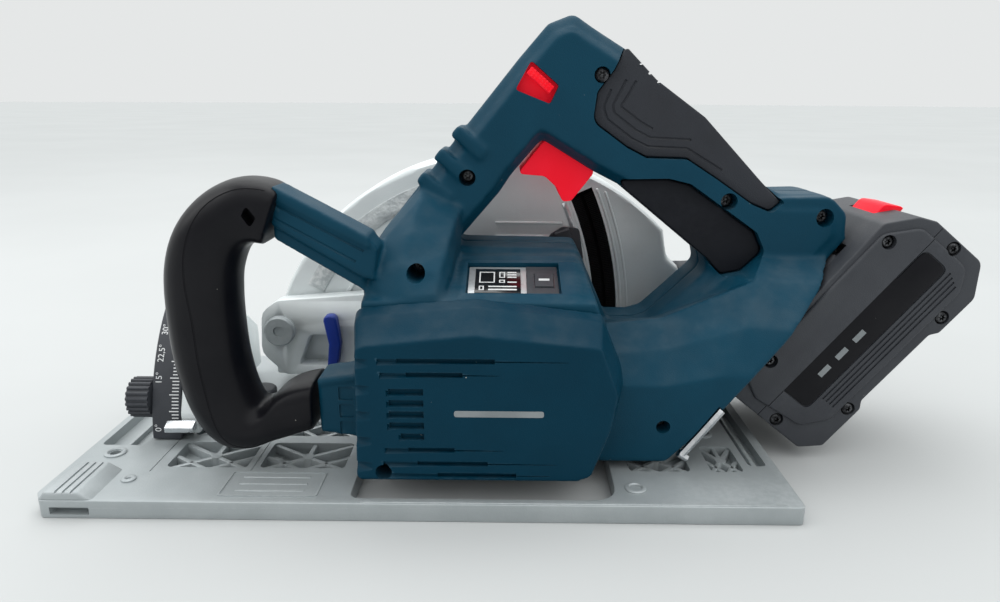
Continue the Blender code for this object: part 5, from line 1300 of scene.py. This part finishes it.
def sole_body():
    """The plate with its opening, pockets, rail groove and cam seats."""
    outlines = [rounded(PLATE_OUTLINE), rounded(PLATE_OPENING)]
    plate = machine(slab(outlines, 0.0, PLATE_THICK, "XY"), 0.7, 3)
    cuts = [slab([box_loop(a, b, 3.0)], 3.4, 14.0, "XY") for a, b in LATTICE]
    cuts += [slab([box_loop(a, b, 3.0)], 3.8, 14.0, "XY") for a, b in SIDE_TROUGHS]
    cuts += [slab([box_loop((-71.0, 1.9), (-53.0, 5.6), 0.6)], -95.0, -84.0),
             bar((-100.0, 20.0, -2.0), (300.0, 34.0, 1.6)),
             rod("Z", 2.6, 4.0, 14.0, TROUGH_HOLE, 28)]
    cuts += [rod("Z", 5.3, 3.5, 14.0, spot, 28) for spot in CAM_SPOTS]
    for x in (-38.0, 10.8):
        cuts.append(bar((x, -62.5, 8.6), (x + 0.7, -30.0, 10.0)))
    return machine(plate, cuts=cuts)


def sole_details():
    """Lattice ribs, bosses, the hump with its grip lines and the data frame."""
    parts = []
    for a, b in LATTICE:
        parts += crossed_ribs(a, b)
    for (x0, y0), (x1, y1) in SIDE_TROUGHS:
        middle = (x0 + x1) / 2
        parts.append(machine(bar((middle - 1.2, y0 - 1.0, 3.0), (middle + 1.2, y1 + 1.0, 6.6)), 0.6, 2))
    hump = slab([rounded([(-77.0, 8.0), (-73.0, 13.0, 3.0), (-58.0, 13.0, 3.0), (-50.0, 8.0)])], -88.6, -60.0)
    grip_lines = [bar((x, -90.0, 12.2), (x + 1.2, -58.0, 15.0)) for x in (-68.0, -64.4, -60.8)]
    parts.append(machine(hump, 1.6, 3, cuts=grip_lines))
    for x, y, r in ((*TROUGH_HOLE, 5.4), (260.0, 38.0, 5.0), (242.5, -18.0, 4.6), (196.0, -74.0, 5.0),
                    (-44.0, -70.0, 3.4)):
        profile = [(r, 8.0), (r, 9.6), (r - 0.5, 10.0), (r - 1.6, 10.0), (r - 2.2, 9.4), (r - 2.2, 8.0)]
        parts.append(lathe(profile, "Z", (x, y), 36))
    frame_loop = [box_loop((3.0, -84.0), (49.0, -62.0), 2.0), box_loop((4.0, -83.0), (48.0, -63.0), 1.4)]
    parts.append(slab(frame_loop, 8.8, 9.5, "XY"))
    for row in range(3):
        y = -79.6 + 6.0 * row
        parts.append(machine(bar((10.0, y, 8.8), (42.0, y + 1.6, 9.35)), 0.2, 1))
    parts.append(machine(bar((70.0, -88.4, 8.7), (262.0, -86.6, 9.5)), 0.3, 1))
    return joined(parts)


show("sole_casting", sole_body(), cast_grey, "base", ["base_plate"], 40.0)
show("sole_lattice", sole_details(), cast_grey, "base", sharp=40.0)

# %% [markdown]
# ## The guard
# Two die castings close round the blade. The near one shows most: a broad sloping rim, a rough cast band,
# stiffening ribs, and the slot that the drive passes through with black bristles on both sides of it.

# %% Guard outlines
GUARD_CENTRE = (127.0, 13.7)
GUARD_R = 139.3
HINGE = (0.0, 50.0)
ARBOR = (150.0, 18.0)


def guard_loop(shrink, floor_front, floor_rear):
    """The guard's side view, drawn smaller by shrink."""
    radius = GUARD_R - shrink
    front = math.degrees(math.acos((-10.0 + shrink - GUARD_CENTRE[0]) / radius))
    points = arc(GUARD_CENTRE, radius, front, 43.0, 64)
    points += [(232.0 - shrink, 92.0 - shrink * 0.5), (240.0 - shrink, 86.0 - shrink),
               (240.0 - shrink, floor_rear), (-10.0 + shrink, floor_front)]
    return points


# %% Guard castings
def near_guard():
    """The near casting: sloping rim, stepped bands, neck opening and bristle slot."""
    shell = machine(slab([guard_loop(0.0, 14.5, 14.5)], 50.0, 69.85), 3.4, 3)
    neck_radius = math.hypot(ARBOR[0] - HINGE[0], ARBOR[1] - HINGE[1])
    cuts = [slab([guard_loop(6.0, 0.0, 0.0)], 53.0, 80.0),
            slab([band_loop(HINGE, neck_radius - 16.5, neck_radius + 16.5, -30.0, 15.5)], 44.0, 60.0),
            slab([band_loop(HINGE, 189.0, 203.0, -5.5, 24.5)], 44.0, 60.0),
            rod("Y", 4.3, 40.0, 60.0, HINGE, 32), rod("Y", 6.4, 53.0, 80.0, HINGE, 32)]
    return machine(shell, cuts=cuts)


def guard_ribs():
    """Raised lines on the near face: arcs along the rim, a double line beside the slot, cross ribs."""
    parts = [slab([band_loop(GUARD_CENTRE, 104.0, 106.5, 98.0, 150.0, 40)], 48.9, 50.2),
             slab([band_loop(HINGE, 204.6, 206.0, -2.0, 24.0)], 47.6, 50.2),
             slab([band_loop(HINGE, 208.4, 209.8, -2.0, 23.0)], 48.4, 50.2),
             slab([band_loop(HINGE, 185.6, 187.2, 2.0, 30.0)], 48.0, 50.2)]
    for z in (104.0, 112.0):
        parts.append(machine(bar((128.0, 48.6, z), (168.0, 50.2, z + 1.6)), 0.4, 2))
    pad_side = [(-9.5, 16.0, 2.0), (-2.0, 16.0, 2.0), (4.0, 60.0, 3.0), (-8.0, 60.0, 3.0)]
    pad = slab([rounded(pad_side)], 47.4, 50.2)
    parts.append(machine(pad, 0.8, 2, cuts=[rod("Y", 5.2, 40.0, 60.0, HINGE, 32)]))
    return joined([machine(p, 0.35, 1) if len(p.polygons) < 400 else p for p in parts])


def rough_band():
    """The bright, coarse strip between the sloping rim and the inner arc."""
    return machine(slab([band_loop(GUARD_CENTRE, 118.0, 128.5, 92.0, 152.0, 48)], 49.2, 50.1), 0.4, 2)


def far_guard():
    """The far casting, with a stepped outer face."""
    shell = machine(slab([guard_loop(0.0, 36.0, 36.0)], 70.15, 86.6), 4.0, 4)
    step = machine(slab([guard_loop(16.0, 44.0, 44.0)], 84.0, 88.0), 1.2, 3)
    groove = slab([band_loop(GUARD_CENTRE, 96.0, 99.0, 40.0, 150.0, 48)], 87.2, 90.0)
    cuts = [slab([guard_loop(6.0, 20.0, 20.0)], 60.0, 84.0), rod("Y", 4.3, 60.0, 100.0, HINGE, 32), groove]
    for x, z in ((20.0, 70.0), (60.0, 118.0), (127.0, 140.0), (196.0, 112.0), (222.0, 60.0)):
        cuts.append(rod("Y", 2.4, 85.0, 95.0, (x, z), 24))
    return machine(shell, adds=[step], cuts=cuts)


show("guard_near", near_guard(), cast_grey_painted_lit, "tilt", ["guard_inner"], 30.0)
show("guard_near_ribs", guard_ribs(), cast_grey_painted_lit, "tilt", sharp=30.0)
show("guard_rough_band", rough_band(), cast_rough, "tilt", sharp=30.0)
show("guard_far", far_guard(), cast_grey_painted_lit, "tilt", ["guard_outer"], 30.0)

# %% [markdown]
# ## Bristle strips
# Bristles are hundreds of short hairs. A strip here is a row of narrow teeth with gaps between them, so
# the edge looks combed and the finish adds the finer streaks.

# %% Bristles
def bristle_strip(inner, outer, start_deg, end_deg, count):
    """A comb of narrow blades around the plunge hinge."""
    blades = []
    for index in range(count):
        a = start_deg + (end_deg - start_deg) * index / count
        b = a + (end_deg - start_deg) / count * 0.78
        blades.append(slab([band_loop(HINGE, inner, outer, a, b, 1)], 50.5, 52.6))
    back_inner, back_outer = (outer - 1.0, outer) if outer > 196.0 else (inner, inner + 1.0)
    blades.append(slab([band_loop(HINGE, back_inner, back_outer, start_deg, end_deg)], 50.3, 52.8))
    return joined(blades)


# Painted shade: a dark sheet inside the guard behind the bristles stands for the shade within the guard.
slot_shade_sheet = machine(slab([band_loop(HINGE, 186.0, 206.0, -7.0, 26.0)], 57.2, 58.4), 0.3, 2)
show("slot_painted_shade", slot_shade_sheet, bristle_black, "tilt", sharp=30.0)
show("bristles_outer", bristle_strip(197.0, 202.6, -4.8, 23.8, 90), bristle_black, "tilt",
     ["slot_brush_outer"], 20.0)
show("bristles_inner", bristle_strip(189.4, 194.9, -4.8, 23.8, 90), bristle_black, "tilt",
     ["slot_brush_inner"], 20.0)

# %% [markdown]
# ## The bevel scale
# A black arc with white lines for every degree and numbers at the common angles. The lines run across the
# arc's outer surface, so each one is a thin bar turned about the tilt axis.

# %% Bevel scale
TILT_Y = 70.0
ARC_OUT = 101.0
ARC_X = (-51.6, -36.2)
SCALE_START = 9.0


def on_arc(degrees, radius):
    """The (y, z) of a point that many degrees above the sole about the tilt axis."""
    angle = math.radians(degrees)
    return TILT_Y - radius * math.cos(angle), radius * math.sin(angle)


def arc_frame(degrees, radius, x):
    """A frame on the arc's outer face: local X to the saw's rear, local Y up the arc, local Z outwards."""
    y, z = on_arc(degrees, radius)
    angle = math.radians(degrees)
    outward = Vector((0.0, -math.cos(angle), math.sin(angle)))
    up = Vector((0.0, math.sin(angle), math.cos(angle)))
    across = up.cross(outward)
    turn = Matrix((across, up, outward)).transposed().to_4x4()
    return Matrix.Translation(Vector((x, y, z)) * MM) @ turn


def arc_body():
    """The scale's arc with its clamping slot and softly rounded edges."""
    outer = [on_arc(5.5 + 66.0 * i / 40, ARC_OUT - 0.1) for i in range(41)]
    inner = [on_arc(6.4 + 65.1 * i / 40, 86.1) for i in range(41)]
    hole = ([on_arc(14.5 + 53.0 * i / 30, 96.0) for i in range(31)]
            + [on_arc(67.5 - 53.0 * i / 30, 90.9) for i in range(31)])
    return machine(slab([outer + inner[::-1], hole], *ARC_X, "YZ"), 0.7, 3)


def scale_lines():
    """A line for every degree, longer at each fifth."""
    lines = []
    for degree in range(47):
        length = 5.0 if degree % 5 == 0 else 3.6
        line = bar((-length, -0.28, -0.1), (0.0, 0.28, 0.06))
        line.transform(arc_frame(SCALE_START + degree, ARC_OUT - 0.1, ARC_X[1] - 1.2))
        lines.append(line)
    return joined(lines)


def numeral(text, height, place):
    """A number as a thin raised print."""
    curve = bpy.data.curves.new("numeral", "FONT")
    curve.body = text
    curve.size = height * MM
    curve.extrude = 0.00005
    curve.align_x = "CENTER"
    curve.align_y = "CENTER"
    thing = holder(curve)
    mesh = evaluated_mesh(thing)
    bpy.data.objects.remove(thing)
    mesh.transform(place @ Matrix.Rotation(math.radians(90.0), 4, "Z"))
    return mesh


def scale_numbers():
    """The usual angles in figures."""
    numbers = []
    for degree, text in ((0, "0°"), (15, "15°"), (22.5, "22,5°"), (30, "30°"), (45, "45°")):
        numbers.append(numeral(text, 4.6, arc_frame(SCALE_START + degree, ARC_OUT - 0.05, ARC_X[0] + 3.4)))
    return joined(numbers)


show("bevel_arc", arc_body(), black_case, "base", ["front_quadrant"], 35.0)
show("bevel_lines", scale_lines(), white_print, "base")
show("bevel_numbers", scale_numbers(), white_print, "base")

# %% [markdown]
# ## Clamping knobs
# A moulded knob with deep ribs for cold fingers. Each rib is a small rounded bar set round the knob, which
# reads better than a toothed disc.

# %% Knobs
def ribbed_knob(centre, low, high, radius, ribs=22):
    """A turned knob with small bars set round it."""
    y, z = centre
    body = lathe([(0.0, low), (radius * 0.80, low), (radius * 0.90, low + 1.0), (radius * 0.90, high - 0.6),
                  (radius * 0.82, high), (0.0, high)], "X", centre, 48)
    parts = [body]
    for index in range(ribs):
        angle = math.tau * index / ribs
        spot = (y + radius * 0.90 * math.cos(angle), z + radius * 0.90 * math.sin(angle))
        parts.append(rod("X", radius * 0.095, low + 0.8, high - 0.5, spot, 8))
    return joined(parts)


FRONT_BOLT = on_arc(18.0, 93.5)
REAR_BOLT = on_arc(28.0, 40.0)
front_knob = joined([ribbed_knob(FRONT_BOLT, -64.9, -52.0, 11.0), rod("X", 2.2, -60.0, -28.0, FRONT_BOLT)])
show("front_clamp_knob", front_knob, black_case, "front_knob", ["front_bevel_knob"], 40.0)
rear_knob = joined([ribbed_knob(REAR_BOLT, 248.9, 259.0, 8.0, 16), rod("X", 2.2, 231.0, 252.0, REAR_BOLT)])
show("rear_clamp_knob", rear_knob, black_case, "rear_knob", ["rear_bevel_knob"], 40.0)

# %% [markdown]
# ## Small silver and black parts
# The pointer, the bracket beside the slot, the hexagon key and a few screws. Small parts like these make
# the size of the whole saw readable.

# %% Pointer, bracket and key
pointer_side = [(-36.4, 16.2, 0.8), (-31.3, 16.2, 0.8), (-31.3, 21.8, 0.8), (-36.4, 19.0, 0.8)]
pointer = machine(slab([rounded(pointer_side)], -42.0, -27.0, "YZ"), 0.4, 2)
hinge_profile = [(0.0, 29.5), (3.2, 29.5), (3.4, 28.2), (8.2, 28.2), (9.0, 29.0), (9.0, 32.6), (0.0, 32.6)]
hinge_head = lathe(hinge_profile, "Y", HINGE, 40)
show("hinge_bolt_head", hinge_head, cast_grey, "head", ["hinge_cap"], 30.0)
show("bevel_pointer", pointer, bright_steel, "tilt", ["angle_pointer"])
bracket_side = [(159.0, 88.0, 3.0), (160.0, 106.0, 5.0), (168.0, 111.0, 4.0), (178.0, 110.0, 3.0),
                (181.0, 92.0, 3.0), (176.0, 86.0, 3.0)]
bracket = machine(slab([rounded(bracket_side)], 46.6, 48.4), 0.5, 3)
show("stop_bracket", bracket, black_case, "tilt")
bracket_screw = lobed_screw(166.5, 97.0, 44.9, 3.6)
show("bracket_screw", bracket_screw, bright_steel, "tilt", sharp=30.0)
long_arm = [(221.0, -55.3, 16.4), (229.5, -55.3, 27.8), (237.8, -55.3, 39.2), (238.8, -55.0, 40.4)]
short_arm = [(219.8, -55.3, 17.6), (224.0, -55.3, 15.0)]
key = joined([wire(path, 1.9, 1) for path in (long_arm, short_arm)])
show("hexagon_key", key, bright_steel, "hex_key", ["hex_key"], 30.0)

# %% [markdown]
# ## The blade
# A thin steel disc with carbide-tipped hooked teeth and a few expansion slots that stop it from buckling
# as it warms up. The tips are a little wider than the disc, so it cuts its own clearance.

# %% Blade
TEETH = 42
TOOTH_SHAPE = ((0.0, 69.4), (0.12, 69.2), (0.30, 68.6), (0.40, 66.0), (0.52, 64.9), (0.75, 65.4),
               (0.93, 67.4))


def blade_disc():
    """The disc with hooked teeth, expansion slots and its bore."""
    points = []
    for tooth in range(TEETH):
        for share, radius in TOOTH_SHAPE:
            angle = -math.tau * (tooth + share) / TEETH
            points.append((ARBOR[0] + radius * math.cos(angle), ARBOR[1] + radius * math.sin(angle)))
    slots = []
    for index in range(4):
        angle = math.tau * (index + 0.3) / 4
        run = Vector((math.cos(angle), math.sin(angle)))
        inner_end = Vector(ARBOR) + run * 48.0
        slots.append(slab([strip_loop(inner_end, Vector(ARBOR) + run * 66.0, 0.5)], 60.0, 80.0))
        slots.append(rod("Y", 1.6, 60.0, 80.0, tuple(inner_end), 20))
    return machine(slab([points, ring(ARBOR, 10.0)], 69.5, 71.1), cuts=slots)


def blade_tips():
    """A carbide tip on each tooth."""
    tips = []
    arbor = Matrix.Translation(Vector((ARBOR[0], 0.0, ARBOR[1])) * MM)
    for tooth in range(TEETH):
        angle = -math.tau * (tooth + 0.02) / TEETH
        tip = bar((65.6, 69.35, -0.5), (69.9, 71.25, 0.9))
        tip.transform(arbor @ Matrix.Rotation(-angle, 4, "Y"))
        tips.append(tip)
    return joined(tips)


show("blade_disc", blade_disc(), bright_steel, "blade", ["saw_blade"], 30.0)
show("blade_tips", blade_tips(), dark_steel, "blade", sharp=30.0)

# %% [markdown]
# ## CAD pieces that stay
# Gears, shafts, the motor and the small brackets are already right in shape. They get the same finishes and
# smooth shading, and the carriers, cams, levers and a few other small parts also a fine rounding on their
# edges.

# %% Finishes for the CAD pieces
KEPT = {
    "glide_strip": black_case, "rear_quadrant": black_case, "front_cam": black_case, "rear_cam": black_case,
    "front_carrier": cast_grey_painted_lit, "rear_carrier": cast_grey_painted_lit, "hinge_pin": bright_steel,
    "return_spring": bright_steel, "depth_scale": silver_film, "depth_stop": black_case,
    "dust_port": black_case, "gear_case": cast_grey_painted_lit, "guide_pin": bright_steel,
    "arbor_bearing": bright_steel, "arbor_shaft": bright_steel,
    "blade_flange": bright_steel, "blade_bolt": dark_steel, "motor_pinion": bright_steel,
    "idler_wheel": bright_steel, "idler_pinion": bright_steel, "blade_wheel": bright_steel,
    "idler_shaft": bright_steel, "stator": copper_wire, "rotor_core": bright_steel,
    "motor_shaft": bright_steel,
    "motor_fan": black_case, "switch_module": black_case, "control_board": circuit_green,
    "lock_lever": cobalt_plastic, "cell_pack": silver_film, "battery_shoe": black_case,
}
ROUNDED = ("front_carrier", "rear_carrier", "depth_stop", "lock_lever", "rear_quadrant", "front_cam",
           "rear_cam", "switch_module", "battery_shoe")
for name, finish in KEPT.items():
    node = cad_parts[name]
    node.data.materials.clear()
    node.data.materials.append(finish)
    weld = node.modifiers.new("weld", "WELD")
    weld.merge_threshold = 0.005 * MM
    if name in ROUNDED:
        edge = node.modifiers.new("edge", "BEVEL")
        edge.width = 0.5 * MM
        edge.segments = 2
        edge.limit_method = "ANGLE"
    node.data.shade_smooth()
    node.data.set_sharp_from_angle(angle=math.radians(32.0))
print("CAD pieces shown:", len(KEPT))

# %% [markdown]
# ## Floor, light and camera
# The saw stands with its sole on a pale work surface and its blade below it. A softbox behind and above, a
# smaller one on the left and a pale room give the broad, even highlights that show dark plastic's shape.

# %% Floor
floor_finish = bpy.data.materials.new("pale_floor")
floor_finish.use_nodes = True
floor_tree = floor_finish.node_tree
floor_shader = floor_tree.nodes["Principled BSDF"]
floor_shader.inputs["Roughness"].default_value = 0.9
floor_shader.inputs["Specular IOR Level"].default_value = 0.0
floor_tone = smooth_range(floor_tree, noise_node(floor_tree, place_of(floor_tree), 2.0, 4.0), 0.2, 0.8)
floor_colour = blend_colours(floor_tree, floor_tone, (0.50, 0.512, 0.512), (0.53, 0.542, 0.542))
floor_tree.links.new(floor_colour, floor_shader.inputs["Base Color"])


def pale_floor():
    """A round work surface, wide enough that its rim is far off."""
    mesh = bpy.data.meshes.new("pale_floor")
    work = bmesh.new()
    bmesh.ops.create_circle(work, cap_ends=True, segments=96, radius=30.0)
    work.to_mesh(mesh)
    work.free()
    mesh.materials.append(floor_finish)
    thing = holder(mesh, "pale_floor")
    thing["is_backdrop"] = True
    return thing


pale_floor()

# %% Lights
def pale_room():
    """A room that is brightest overhead and at the back, and dimmer behind the viewer."""
    world = bpy.data.worlds.new("pale_room")
    world.use_nodes = True
    tree = world.node_tree
    background = tree.nodes["Background"]
    direction = tree.nodes.new("ShaderNodeSeparateXYZ")
    tree.links.new(tree.nodes.new("ShaderNodeTexCoord").outputs["Generated"], direction.inputs[0])
    overhead = smooth_range(tree, direction.outputs["Z"], 0.18, 0.75)
    back = smooth_range(tree, direction.outputs["Y"], -0.55, 0.35)
    base = math_node(tree, "MULTIPLY_ADD", back, 0.20, 0.60)
    strength = math_node(tree, "MULTIPLY_ADD", overhead, 0.95, base)
    background.inputs["Color"].default_value = (0.98, 1.0, 1.0, 1.0)
    tree.links.new(strength, background.inputs["Strength"])
    return world


bpy.context.scene.world = pale_room()


def softbox(name, place, target, size, power):
    """A rectangular lamp aimed at a place."""
    light = bpy.data.lights.new(name, "AREA")
    light.shape = "RECTANGLE"
    light.size, light.size_y = size
    light.energy = power
    thing = holder(light, name)
    thing.location = place
    thing.rotation_euler = (Vector(target) - Vector(place)).to_track_quat("-Z", "Y").to_euler()
    return thing


softbox("overhead", (-0.05, 0.45, 1.5), (0.12, 0.0, 0.05), (1.3, 0.9), 5.0)
softbox("left_window", (-1.2, -0.1, 0.9), (0.1, 0.0, 0.1), (0.5, 0.8), 2.2)
print("lights:", len(bpy.data.lights))

# %% Camera
camera_data = bpy.data.cameras.new("camera")
camera_data.sensor_width = 36.0
camera_data.lens = 25.2
camera_data.clip_start = 0.01
camera = holder(camera_data, "camera")
camera.location = (0.1345, -0.3647, 0.1837)
camera.rotation_euler = (math.radians(73.9), math.radians(-0.3), math.radians(0.55))
bpy.context.scene.camera = camera
bpy.context.scene.view_settings.view_transform = "Standard"

# %% [markdown]
# ## Sizes
# How far the dressed saw grows past the CAD model's box along each axis is printed.

# %% Print the growth along each axis
shown_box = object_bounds()
for i, axis in enumerate("XYZ"):
    growth = max(cad_box[0][i] - shown_box[0][i], shown_box[1][i] - cad_box[1][i])
    print("grown along", axis, "by", round(growth / MM, 2), "mm")
